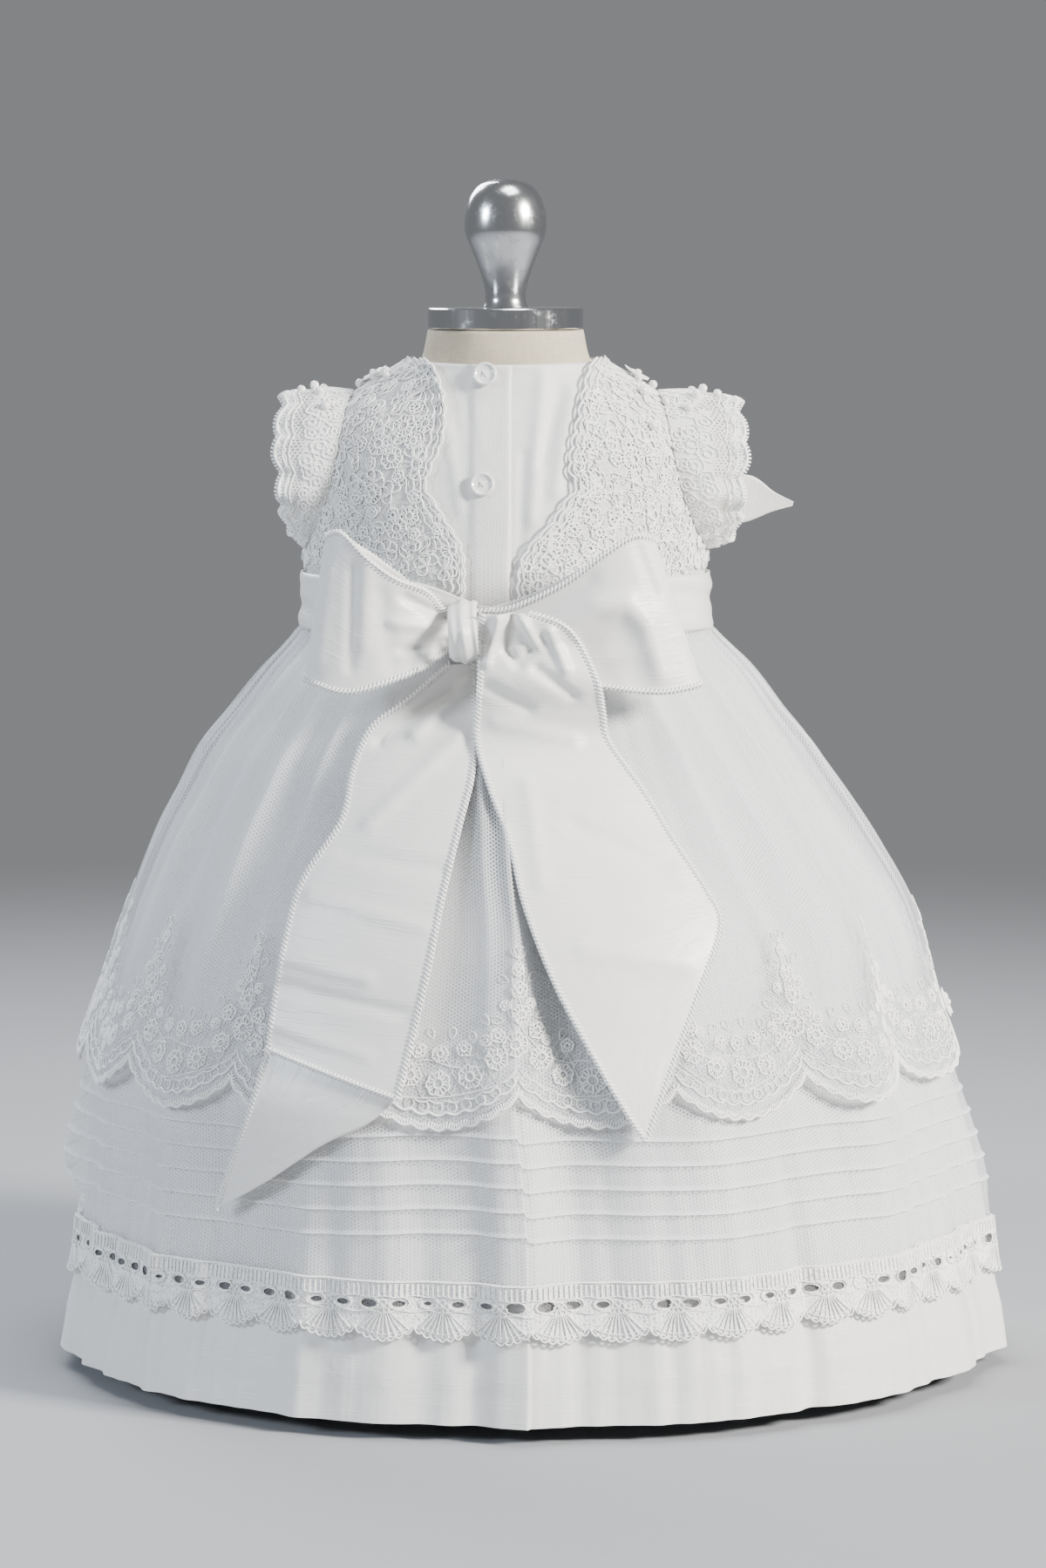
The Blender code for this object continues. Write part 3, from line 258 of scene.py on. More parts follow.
# Pearls sewn on by themselves, all standing on the lace.
PEARLS = table(
    "angle z lift radius",
    (-168, 450, 6, 2.1), (-162, 452.5, 6, 2.1), (-155, 451, 6, 1.9), (-176, 446.5, 6.2, 2.1),
    (-12, 449.5, 6.2, 2.1), (-26, 444.5, 6, 2.1), (-38, 430.5, 6, 2.1), (-5, 446, 6.2, 2),
    (-18, 439.5, 6, 1.9), (160, 450, 6, 2.1), (150, 446, 6, 2), (20, 449, 6, 2.1), (32, 444, 6, 2),
    (52, 420, 6, 2), (128, 420, 6, 2), (66, 400, 6, 2), (114, 400, 6, 2), (90, 384, 6, 2.2))
SLEEVE_PEARLS = table(
    "turn depth",
    (112, 0.45), (104, 0.72), (128, 0.3), (92, 0.58), (76, 0.4), (66, 0.62))
# Flowers of one scallop: distance from its middle, height above its lowest point, and radius.
BLOOMS = table(
    "x z radius",
    (0, 19, 5), (-12.5, 21.5, 4.3), (12.5, 21, 4.6), (-22.5, 28.5, 4.6), (23.5, 29, 4.2),
    (0, 31.5, 3.3), (-10, 32.5, 2.8), (9.5, 33, 3), (31.8, 36, 5), (32.4, 48, 4.2),
    (31.6, 58.5, 3.3), (24, 40.5, 3.2), (40.3, 41, 3.2), (32, 67, 2.4), (26, 53, 2.3),
    (38, 53.5, 2.3), (19, 36.5, 2.2), (-19.5, 37, 2.2))
# Stems and leaves of one scallop, measured in the same way.
STEMS = (
    ((32, 72), (30, 62), (34, 50), (30, 38), (20, 27), (6, 25), (-8, 27), (-20, 22)),
    ((32, 72), (34, 62), (29, 52), (35, 41), (44, 29), (56, 25)),
    ((-30, 24), (-18, 15), (-4, 12), (10, 14), (24, 20), (32, 26)),
)
LEAVES = table(
    "x z way",
    (32, 71, 90), (32, 71, 50), (32, 71, 130), (28, 62, 150), (36, 62, 30), (26, 46, 170),
    (39, 47, 10), (14, 36, 110), (-14, 36, 70), (4, 37, 90), (-4, 37, 110), (20, 44, 130))
TUCK_ROWS = table(
    "offset lip doubled",
    (-0.8, 0, 0), (-0.25, 0.1, 0.1), (0, 0.9, 0.8), (0.4, 0.9, 0.8), (1, 0.4, 0.5),
    (1.6, 0, 0.25), (2.4, 0, 0.1), (6, 0, 0))
# Lamps: their places, the heights that they aim at and their sizes are in metres.
LIGHTS = table(
    "name at aim_z size power tint",
    ("key", (2.3, -1.35, 1.45), 0.25, 0.6, 265, (1, 0.965, 0.91)),
    ("fill", (-2.2, -1.3, 1.2), 0.25, 0.6, 52, (0.8, 0.89, 1)),
    ("rim", (-0.9, 1.9, 1.6), 0.3, 1.2, 66, (0.93, 0.96, 1)),
    ("top", (0.3, -0.3, 2.2), 0, 0.8, 20, (1, 1, 1)))
# Which columns of their tables are the two edges of a loop, and of a hanging end.
LOOP_EDGES = ([0, 4, 1], [2, 4, 3])
TAIL_EDGES = ([0, 1, 4], [2, 3, 5])

# ---------------------------------------------------------------- settings a user would change


def tint(name, use, default):
    """A colour setting."""
    return FloatVectorProperty(name=name, description="Colour of the " + use, subtype="COLOR",
                               size=3, min=0.0, max=1.0, default=default)


def length(name, use, default):
    """A size setting, in metres."""
    return FloatProperty(name=name, description=use, unit="LENGTH", subtype="DISTANCE",
                         min=0.0002, max=0.005, default=default)


class GownColours(PropertyGroup):
    """Colours of the gown's materials."""

    satin: tint("Satin", "skirt and bodice satin", (0.77, 0.77, 0.76))
    ribbon: tint("Ribbon", "sash and the bow", (0.82, 0.812, 0.795))
    net: tint("Net", "two net skirts", (0.80, 0.815, 0.84))
    lace: tint("Lace", "embroidery thread", (0.94, 0.94, 0.93))
    linen: tint("Linen", "dress form's cover", (0.56, 0.49, 0.37))
    floor: tint("Floor", "floor and of the studio round it", (0.33, 0.34, 0.36))


class GownSizes(PropertyGroup):
    """Sizes of the gown's fine work."""

    net_cell: length("Net Cell", "Width of one hole of the net", 0.0015)
    stitch_step: length("Stitch Step", "Distance between two overlock stitches", 0.0019)
    picot_step: length("Picot Step", "Distance between two stitches on the lace's edge", 0.0012)
    ribbon_wall: length("Ribbon Thickness", "Thickness of the sash and of the bow", 0.0006)


# ---------------------------------------------------------------- surfaces


def smooth(rows, column, at):
    """Read a table's column at a height, along a curve through the rows without overshoot."""
    keys = np.array([row[0] for row in rows], float)
    values = np.array([getattr(row, column) for row in rows], float)
    slopes = np.diff(values) / np.diff(keys)
    same_way = slopes[:-1] * slopes[1:] > 0.0
    sums = np.where(same_way, slopes[:-1] + slopes[1:], 1.0)
    means = np.where(same_way, 2.0 * slopes[:-1] * slopes[1:] / sums, 0.0)
    tangents = np.concatenate([slopes[:1], means, slopes[-1:]])
    at = np.clip(np.asarray(at, float), keys[0], keys[-1])
    cell = np.clip(np.searchsorted(keys, at, side="right") - 1, 0, len(keys) - 2)
    width = keys[cell + 1] - keys[cell]
    part = (at - keys[cell]) / width
    rise = part * part * (3.0 - 2.0 * part)
    lead = part * (1.0 - part) ** 2 * width * tangents[cell]
    tail = part * part * (part - 1.0) * width * tangents[cell + 1]
    return blend(values[cell], values[cell + 1], rise) + lead + tail


def blend(first, second, part):
    """Change from one value to another while the part goes from 0 to 1."""
    return first * (1.0 - part) + second * part


def slope(rows, column, z):
    """How much a table's column changes over a millimetre of height."""
    return smooth(rows, column, z + 0.5) - smooth(rows, column, z - 0.5)


def step(low, high, value):
    """Change smoothly from 0 at one value to 1 at the other."""
    part = np.clip((np.asarray(value, float) - low) / (high - low), 0.0, 1.0)
    return part * part * (3.0 - 2.0 * part)


def bell(away, width):
    """1 in the middle, fading to both sides."""
    return np.exp(-((away / width) ** 2))


def apart(angle, other):
    """The signed difference of two angles, within half a turn."""
    return (np.asarray(angle, float) - other + 180.0) % 360.0 - 180.0


def polar(degrees):
    """The cosine and the sine of an angle."""
    turn = np.radians(degrees)
    return np.cos(turn), np.sin(turn)


def circle(count):
    """Evenly spaced turns, in radians."""
    return np.linspace(0.0, 2.0 * math.pi, count, endpoint=False)


def around(degrees):
    """Angles all round, this far apart, from the middle of the back."""
    return np.arange(0.0, 360.0, degrees) + BACK


def evenly(count):
    """Evenly spaced values from 0 to 1."""
    return np.linspace(0.0, 1.0, count)


def joined(*coordinates):
    """Points from their coordinates, each a number or an array."""
    return np.stack(np.broadcast_arrays(*coordinates), axis=-1)


def unit(vectors):
    """The same directions with a length of 1."""
    return vectors / np.maximum(np.linalg.norm(vectors, axis=-1, keepdims=True), 1e-9)


def ellipse_normal(cosine, sine, wide, deep, wide_slope, deep_slope):
    """The outward unit normal of a stack of ellipses whose radii change with height."""
    up = -(cosine**2 * wide_slope / wide + sine**2 * deep_slope / deep)
    return unit(joined(cosine / wide, sine / deep, up))


def torso_point(angle, z, lift):
    """A point off the torso, in mm."""
    angle, z, lift = np.broadcast_arrays(np.asarray(angle, float), z, lift)
    cosine, sine = polar(angle)
    wide = smooth(TORSO, "half_width", z)
    deep = smooth(TORSO, "half_depth", z)
    normal = ellipse_normal(cosine, sine, wide, deep, slope(TORSO, "half_width", z),
                            slope(TORSO, "half_depth", z))
    return joined(wide * cosine, deep * sine, z) + normal * lift[..., None]


def large_folds(angle, z):
    """The folds that all three skirts share."""
    turn = np.radians(angle)
    even = np.cos(GATHERS * (turn - math.radians(BACK)))
    strength = 0.62 + 0.22 * np.sin(3.0 * turn + 0.7) + 0.16 * np.sin(7.0 * turn + 2.0)
    height = smooth(SKIRT, "gather", z) * even * strength
    for fold in FOLDS:
        upper = np.clip((fold.top - z) / FOLD_FADE, 0.0, 1.0)
        lower = np.clip((z - fold.bottom) / FOLD_FADE + 0.4, 0.0, 1.0)
        height = height + fold.height * bell(apart(angle, fold.angle), fold.width) * upper * lower
    return height


def small_folds(angle, z):
    """Fine gathers below the sash, and soft uneven waves that grow towards the hem."""
    turn = np.radians(angle)
    gathers = np.sin(58.0 * turn + 2.0 * np.sin(5.0 * turn))
    gathers = gathers + 0.6 * np.sin(83.0 * turn + 3.0 * np.sin(3.0 * turn + 1.0))
    gathers = gathers * 0.75 * np.clip((z - 215.0) / 110.0, 0.0, 1.0) ** 1.3
    waves = np.sin(43.0 * turn + 1.3) + 0.7 * np.sin(61.0 * turn + 0.4 + z * 0.006)
    waves = waves + 0.7 * np.sin(89.0 * turn + 3.0 * np.sin(5.0 * turn) - z * 0.01)
    broad = 1.3 * np.sin(23.0 * turn + 1.5 * np.sin(4.0 * turn) + 0.004 * z)
    return gathers + (0.5 * waves + broad) * np.clip((170.0 - z) / 100.0, 0.12, 1.0)


def skirt_point(angle, z, lift):
    """A point off the satin skirt, in mm; the left half of the back laps over the right."""
    angle, z, lift = np.broadcast_arrays(np.asarray(angle, float), z, lift)
    cosine, sine = polar(angle)
    wide = smooth(SKIRT, "half_width", z)
    ratio = smooth(SKIRT, "depth_ratio", z)
    lean = slope(SKIRT, "half_width", z)
    normal = ellipse_normal(cosine, sine, wide, wide * ratio, lean, lean * ratio)
    level = unit(normal * np.array([1.0, 1.0, 0.0]))
    away = apart(angle, BACK)
    lap = np.where(away < 0.0, np.exp(away / 1.6), 0.0)
    push = large_folds(angle, z) + small_folds(angle, z) + lap
    middle = smooth(SKIRT, "middle_x", z)
    point = joined(middle + wide * cosine, wide * ratio * sine, z)
    return point + level * push[..., None] + normal * lift[..., None]


def skirt_depth(x, z):
    """How far the smooth skirt reaches towards -Y at a place."""
    wide = smooth(SKIRT, "half_width", z)
    across = (x - smooth(SKIRT, "middle_x", z)) / wide
    round_part = np.sqrt(np.clip(1.0 - across**2, 0.02, 1.0))
    return wide * smooth(SKIRT, "depth_ratio", z) * round_part


def drawn_in(z):
    """0 below the waist and 1 at the top of the skirts, where they go in under the sash."""
    return step(WAIST_Z, SKIRT_TOP, z)


def scallop_swing(angle, repeats=SCALLOPS):
    """0 at each notch of a scalloped edge and 1 in the middle of each scallop."""
    return np.abs(np.sin(np.radians(np.asarray(angle, float) - BACK) * repeats * 0.5))


def scallop_line(angle):
    """Height of the notches of the overskirt's edge, which is lower on one side."""
    return SCALLOP_TOP - SCALLOP_TILT * np.cos(np.radians(np.asarray(angle, float) + 110.0))


def overskirt_edge(angle):
    """Height of the overskirt's scalloped edge."""
    return scallop_line(angle) - SCALLOP_DEPTH * scallop_swing(angle) ** 0.75


def armhole_angle(z):
    """How far round from the side a bodice panel ends, at the seam or at the armhole."""
    level = np.clip((z - ARMHOLE_Z) / ARMHOLE_HALF_HEIGHT, -1.0, 1.0)
    reach = ARMHOLE_HALF_DEPTH * np.sqrt(1.0 - level**2)
    return np.degrees(np.arcsin(reach / smooth(TORSO, "half_depth", z)))


def sash_top(angle):
    """Height of the sash's upper edge, which dips where the knot pulls it together."""
    return SASH_TOP - 11.5 * bell(apart(angle, BACK - 3.0), 15.0)


def torso_x(angle, z):
    """How far to the side a place on the torso is."""
    return smooth(TORSO, "half_width", z) * np.cos(np.radians(angle))


def back_angle(x, z):
    """The angle of a place on the back of the torso."""
    return -np.degrees(np.arccos(np.clip(x / smooth(TORSO, "half_width", z), -1.0, 1.0)))


def resample(rows, count):
    """Spread a table of sections evenly along a smooth curve through its rows."""
    sections = np.array(rows, float)
    at = np.linspace(0.0, len(rows) - 1.0, count)
    cell = np.minimum(at.astype(int), len(rows) - 2)
    part = (at - cell)[:, None]
    before = sections[np.maximum(cell - 1, 0)]
    start = sections[cell]
    end = sections[cell + 1]
    after = sections[np.minimum(cell + 2, len(rows) - 1)]
    cubic = (3.0 * (start - end) + after - before) * part**3
    square = (2.0 * before - 5.0 * start + 4.0 * end - after) * part**2
    return start + 0.5 * ((end - before) * part + square + cubic)


def crease_height(x, z, creases):
    """How far a set of creases lifts the cloth at each place."""
    ridges = np.zeros(np.broadcast(x, z).shape)
    grooves = ridges
    for crease in creases:
        run_x = crease.x1 - crease.x0
        run_z = crease.z1 - crease.z0
        along = ((x - crease.x0) * run_x + (z - crease.z0) * run_z) / (run_x**2 + run_z**2)
        along = np.clip(along, 0.0, 1.0)
        away = np.hypot(x - crease.x0 - along * run_x, z - crease.z0 - along * run_z)
        height = crease.height * bell(away, crease.width)
        ridges = np.maximum(ridges, height)
        grooves = np.minimum(grooves, height)
    return ridges + grooves


# ---------------------------------------------------------------- meshes


def link(name, data):
    """Put new data into the scene as an object."""
    item = bpy.data.objects.new(name, data)
    bpy.context.scene.collection.objects.link(item)
    return item


def mark_points(mesh, name, values, kind="FLOAT"):
    """Store a number, or a direction, at each point."""
    layer = mesh.attributes.new(name, kind, "POINT")
    layer.data.foreach_set("value" if kind == "FLOAT" else "vector",
                           np.asarray(values, float).reshape(-1))


def run_pattern(grid, closed=False):
    """Pattern coordinates in centimetres, measured along the grid's middle row and column."""
    row = grid[grid.shape[0] // 2]
    if closed:
        row = np.concatenate([row, row[:1]])
    u, v = (np.append(0.0, np.cumsum(np.linalg.norm(np.diff(line, axis=0), axis=1))) / 10.0
            for line in (row, grid[:, grid.shape[1] // 2]))
    return joined(u, v[:, None])


def cloth(name, grid, finish, pattern=None, closed=False, marks=None):
    """A sheet from a grid of points in mm, with its pattern's coordinates in centimetres."""
    rows, columns = grid.shape[:2]
    if pattern is None:
        pattern = run_pattern(grid, closed)
    i, j = np.meshgrid(np.arange(rows - 1), np.arange(columns - (not closed)), indexing="ij")
    k = (j + 1) % columns
    quads = joined(i * columns + j, i * columns + k, (i + 1) * columns + k,
                   (i + 1) * columns + j).reshape(-1, 4)
    corners = np.stack([pattern[i, j], pattern[i, j + 1], pattern[i + 1, j + 1],
                        pattern[i + 1, j]], axis=2)
    mesh = bpy.data.meshes.new(name)
    mesh.from_pydata((grid.reshape(-1, 3) * MM).tolist(), [], quads.tolist())
    mesh.uv_layers.new(name="Pattern").data.foreach_set("uv", corners.reshape(-1))
    for mark, values in (marks or {}).items():
        mark_points(mesh, mark, np.broadcast_to(values, (rows, columns)))
    mesh.materials.append(coat(finish))
    mesh.shade_smooth()
    return link(name, mesh)


def turned(name, profile, segments, finish, sharp=None):
    """A closed solid turned round the vertical axis from (radius, height) pairs in mm."""
    points = [(radius * math.cos(t) * MM, radius * math.sin(t) * MM, height * MM)
              for radius, height in profile for t in circle(segments)]
    starts = range(0, (len(profile) - 1) * segments, segments)
    faces = [(i + j, i + (j + 1) % segments, i + segments + (j + 1) % segments, i + segments + j)
             for i in starts for j in range(segments)]
    faces.append(tuple(range(segments))[::-1])
    faces.append(tuple(range(len(points) - segments, len(points))))
    mesh = bpy.data.meshes.new(name)
    mesh.from_pydata(points, [], faces)
    mesh.materials.append(coat(finish))
    mesh.shade_smooth()
    if sharp is not None:
        mesh.set_sharp_from_angle(angle=math.radians(sharp))
    return link(name, mesh)


def standing(surface, angle, z, lift):
    """A place on a surface, and the directions sideways, upwards and outwards there."""
    middle = surface(angle, z, lift)
    outward = unit(surface(angle, z, lift + 1.0) - middle)
    side = unit(np.cross((0.0, 0.0, 1.0), outward))
    return middle, side, np.cross(outward, side), outward


def set_on(item, middle, *axes):
    """Move a piece that was made round the vertical axis onto a surface."""
    for vertex in item.data.vertices:
        vertex.co = Vector(middle * MM + np.array(vertex.co) @ np.array(axes))
    item.data.update()


Line = namedtuple("Line", "points closed thickness")


def flat_line(first, second, thickness, closed=True):
    """A line in two coordinates; the thickness is half its width, in mm."""
    return Line(joined(first, second), closed, thickness)


def laid_on(lines, surface):
    """Take flat lines onto a surface, which turns their two coordinates into points."""
    return [Line(surface(*line.points.T), line.closed, line.thickness) for line in lines]


def moved(lines, first, second, scale):
    """Shift flat lines to a place, with their first coordinate divided by a scale."""
    return laid_on(lines, lambda x, z: joined(first + x / scale, second + z))


def line_object(name, lines, facings=None):
    """Bare edges for the cords and the stitches, from lines in mm."""
    edges = []
    start = 0
    for line in lines:
        index = np.arange(start, start + len(line.points))
        pairs = joined(index, np.roll(index, -1))
        edges.append(pairs if line.closed else pairs[:-1])
        start += len(index)
    mesh = bpy.data.meshes.new(name)
    points = np.concatenate([line.points for line in lines]) * MM
    mesh.from_pydata(points.tolist(), np.concatenate(edges).tolist(), [])
    mark_points(mesh, "thickness", np.concatenate(
        [np.full(len(line.points), line.thickness * MM) for line in lines]))
    if facings is not None:
        mark_points(mesh, "facing", np.concatenate(facings), "FLOAT_VECTOR")
    return link(name, mesh)


# ---------------------------------------------------------------- node trees


class Value:
    """An output in a node tree, so that sums and products of it read as they are."""

    def __init__(self, tree, socket):
        self.tree = tree
        self.socket = socket

    def math(self, operation, *others):
        return place(self.tree, "ShaderNodeMath", dict(enumerate((self, *others))),
                     operation=operation)

    def __add__(self, other):
        return self.math("ADD", other)

    def __mul__(self, other):
        return self.math("MULTIPLY", other)

    def ramp(self, low, high, at_low=0.0, at_high=1.0):
        """Change smoothly from one value to another while this one goes from low to high."""
        return place(self.tree, "ShaderNodeMapRange",
                     {"Value": self, "From Min": low, "From Max": high, "To Min": at_low,
                      "To Max": at_high}, interpolation_type="SMOOTHSTEP")

    def noise(self, scale, detail, roughness=0.5, distortion=0.0):
        return place(self.tree, "ShaderNodeTexNoise",
                     {"Vector": self, "Scale": scale, "Detail": detail,
                      "Roughness": roughness, "Distortion": distortion})

    def streaks(self, across, along, detail=2.0):
        """Noise stretched along one direction of the pattern."""
        wide = place(self.tree, "ShaderNodeVectorMath", {0: self, 1: (across, along, 1.0)},
                     operation="MULTIPLY")
        return wide.noise(1.0, detail, 0.55)

    def cells(self, scale):
        """Distance to the edges of uneven cells."""
        return place(self.tree, "ShaderNodeTexVoronoi", {"Vector": self, "Scale": scale},
                     feature="DISTANCE_TO_EDGE")

    def split(self):
        """The first two coordinates."""
        return [place(self.tree, "ShaderNodeSeparateXYZ", {0: self}, k) for k in (0, 1)]


def place(tree, kind, inputs=None, output=0, **settings):
    """Add a node, set its properties, set or link its inputs, and give an output."""
    node = tree.nodes.new(kind)
    for name, value in settings.items():
        setattr(node, name, value)
    for key, value in (inputs or {}).items():
        if isinstance(value, Value):
            tree.links.new(value.socket, node.inputs[key])
        else:
            node.inputs[key].default_value = value
    return Value(tree, node.outputs[output]) if node.outputs else None


def tree_start(tree, sockets, outputs):
    """Name a tree's inputs and outputs, and give its inputs."""
    for label, kind in sockets.items():
        tree.interface.new_socket(label, in_out="INPUT", socket_type="NodeSocket" + kind)
    for label, kind in outputs.items():
        tree.interface.new_socket(label, in_out="OUTPUT", socket_type="NodeSocket" + kind)
    node = tree.nodes.new("NodeGroupInput")
    return {socket.name: Value(tree, socket) for socket in node.outputs}


def geometry_tree(name, **sockets):
    """A geometry tree with named inputs for its sizes."""
    tree = bpy.data.node_groups.new(name, "GeometryNodeTree")
    sockets = {"Geometry": "Geometry", **sockets, "Finish": "Material"}
    return tree, tree_start(tree, sockets, {"Geometry": "Geometry"})


def end_tree(tree, geometry, start):
    """Realize the instances, set the material and smooth shading, and end the tree."""
    real = place(tree, "GeometryNodeRealizeInstances", {"Geometry": geometry})
    soft = place(tree, "GeometryNodeSetShadeSmooth", {"Geometry": real})
    coat = place(tree, "GeometryNodeSetMaterial", {"Geometry": soft, "Material": start["Finish"]})
    place(tree, "NodeGroupOutput", {"Geometry": coat})
    return tree


def cord_tree():
    """Round cords along the mesh's edges, as thick as its thickness attribute says."""
    tree, start = geometry_tree("Embroidery cord", Thickness="Float", Sides="Int")
    own = place(tree, "GeometryNodeInputNamedAttribute", {"Name": "thickness"},
                data_type="FLOAT")
    outline = place(tree, "GeometryNodeCurvePrimitiveCircle",
                    {"Resolution": start["Sides"], "Radius": 1.0})
    lines = place(tree, "GeometryNodeMeshToCurve", {"Mesh": start["Geometry"]})
    tube = place(tree, "GeometryNodeCurveToMesh",
                 {"Curve": lines, "Profile Curve": outline, "Scale": own * start["Thickness"],
                  "Fill Caps": True})
    return end_tree(tree, tube, start)


def stitch_tree():
    """Short straight stitches set across a line at even steps, lying on the cloth."""
    tree, start = geometry_tree("Overlock stitches", Step="Float", Length="Float",
                                Thickness="Float", Slant="Float")
    lines = place(tree, "GeometryNodeMeshToCurve", {"Mesh": start["Geometry"]})
    even = place(tree, "GeometryNodeResampleCurve", {"Curve": lines, "Length": start["Step"]},
                 mode="LENGTH")
    facing = place(tree, "GeometryNodeInputNamedAttribute", {"Name": "facing"},
                   data_type="FLOAT_VECTOR")
    tangent = place(tree, "GeometryNodeInputTangent")
    across = place(tree, "ShaderNodeVectorMath", {0: facing, 1: tangent},
                   operation="CROSS_PRODUCT")
    lean = place(tree, "ShaderNodeVectorMath", {0: tangent, "Scale": start["Slant"]},
                 operation="SCALE")
    way = place(tree, "ShaderNodeVectorMath", {0: across, 1: lean}, operation="ADD")
    turn = place(tree, "FunctionNodeAlignRotationToVector", {"Vector": way}, axis="Z")
    stitch = place(tree, "GeometryNodeMeshCylinder",
                   {"Vertices": 5, "Radius": start["Thickness"], "Depth": start["Length"]})
    laid = place(tree, "GeometryNodeInstanceOnPoints",
                 {"Points": even, "Instance": stitch, "Rotation": turn})
    return end_tree(tree, laid, start)


def bead_tree():
    """Round beads on the mesh's points, as large as its size attribute says."""
    tree, start = geometry_tree("Pearls", Segments="Int")
    own = place(tree, "GeometryNodeInputNamedAttribute", {"Name": "size"}, data_type="FLOAT")
    ball = place(tree, "GeometryNodeMeshUVSphere",
                 {"Segments": start["Segments"], "Rings": 8, "Radius": 1.0})
    size = place(tree, "ShaderNodeCombineXYZ", {0: own, 1: own, 2: own})
    laid = place(tree, "GeometryNodeInstanceOnPoints",
                 {"Points": start["Geometry"], "Instance": ball, "Scale": size})
    return end_tree(tree, laid, start)


BUILT = {}


def built(maker):
    """What a function makes: a node tree or the set of finishes, made once."""
    if maker not in BUILT:
        BUILT[maker] = maker()
    return BUILT[maker]


def bake(item):
    """Turn an object with modifiers into a plain mesh."""
    graph = bpy.context.evaluated_depsgraph_get()
    mesh = bpy.data.meshes.new_from_object(item.evaluated_get(graph), depsgraph=graph,
                                           preserve_all_data_layers=True)
    item.modifiers.clear()
    item.data = mesh
    mesh.name = item.name
    return item


def grown(item, maker, finish, **values):
    """Run one of the trees on an object with its named inputs, and keep the mesh."""
    values["Finish"] = coat(finish)
    tree = built(maker)
    modifier = item.modifiers.new(tree.name, "NODES")
    modifier.node_group = tree
    for entry in tree.interface.items_tree:
        if entry.in_out == "INPUT" and entry.name in values:
            modifier[entry.identifier] = values[entry.name]
    return bake(item)


def walled(item, thickness):
    """Give a sheet its thickness, inwards, and keep the mesh; thickness in metres."""
    modifier = item.modifiers.new("Wall", "SOLIDIFY")
    modifier.thickness = thickness
    modifier.offset = -1.0
    modifier.use_even_offset = False
    return bake(item)


def worn(item, slot, *nodes):
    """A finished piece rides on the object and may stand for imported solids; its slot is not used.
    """
    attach(item, "root")
    if nodes:
        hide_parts(*nodes)
    return item


def cords(name, lines, slot, finish, sides=3):
    """Round cords along lines, as a finished piece."""
    return worn(grown(line_object(name, lines), cord_tree, finish, Thickness=1.0, Sides=sides),
                slot)


def stitches(name, lines, facings, slot, finish, **sizes):
    """Stitches across lines, as a finished piece."""
    return worn(grown(line_object(name, lines, facings), stitch_tree, finish, **sizes), slot)


# ---------------------------------------------------------------- shader groups and materials


def shader_group(name, outputs, **defaults):
    """A shader node group with named inputs, their defaults, and named outputs."""
    tree = bpy.data.node_groups.new(name, "ShaderNodeTree")
    start = tree_start(tree, {"Vector": "Vector", **dict.fromkeys(defaults, "Float")},
                       dict.fromkeys(outputs, "Float"))
    for entry in tree.interface.items_tree:
        if entry.name in defaults:
            entry.default_value = defaults[entry.name]
    return tree, start


def net_group():
    """Hexagon net: a mask of its strands, from three waves that cross at 60 degrees."""
    tree, start = shader_group("Hexagon net", ["Mask"], Cell=0.15, Strand=0.2)
    turns = place(tree, "ShaderNodeMath", {0: 2.0 * math.pi, 1: start["Cell"]},
                  operation="DIVIDE")
    scaled = place(tree, "ShaderNodeVectorMath", {0: start["Vector"], "Scale": turns},
                   operation="SCALE")
    waves = [place(tree, "ShaderNodeVectorMath", {0: scaled, 1: (*polar(way), 0.0)}, "Value",
                   operation="DOT_PRODUCT").math("COSINE") for way in (0.0, 60.0, 120.0)]
    mask = (waves[0] + waves[1] + waves[2]).ramp(start["Strand"] + -0.7, start["Strand"] + 0.7,
                                                 1.0, 0.0)
    place(tree, "NodeGroupOutput", {"Mask": mask})
    return tree


def slub_group():
    """Slub weave: long uneven yarns across the cloth, as shade and as height."""
    tree, start = shader_group("Slub weave", ["Shade", "Height"], Slubs=0.5)
    fine = start["Vector"].streaks(1.1, 30.0)
    slub = start["Vector"].streaks(0.42, 9.0, 1.0).ramp(0.56, 0.74) * start["Slubs"]
    place(tree, "NodeGroupOutput", {"Shade": slub * 0.05 + (fine * 0.09 + 0.955),
                                    "Height": fine * 0.6 + slub})
    return tree


def crumple_group():
    """Soft crumple: shallow uneven dents of cloth that was folded away."""
    tree, start = shader_group("Soft crumple", ["Height"], Size=0.5)
    place(tree, "NodeGroupOutput", {"Height": start["Vector"].noise(start["Size"], 3.0, 0.5, 0.8)})
    return tree


def thread_group():
    """Thread pile: the small lumps of embroidery and overlock thread, as shade and height."""
    tree, start = shader_group("Thread pile", ["Shade", "Height"], Fineness=1500.0)
    lumps = start["Vector"].noise(start["Fineness"], 2.0, 0.6)
    place(tree, "NodeGroupOutput", {"Shade": lumps * 0.14 + 0.92, "Height": lumps})
    return tree


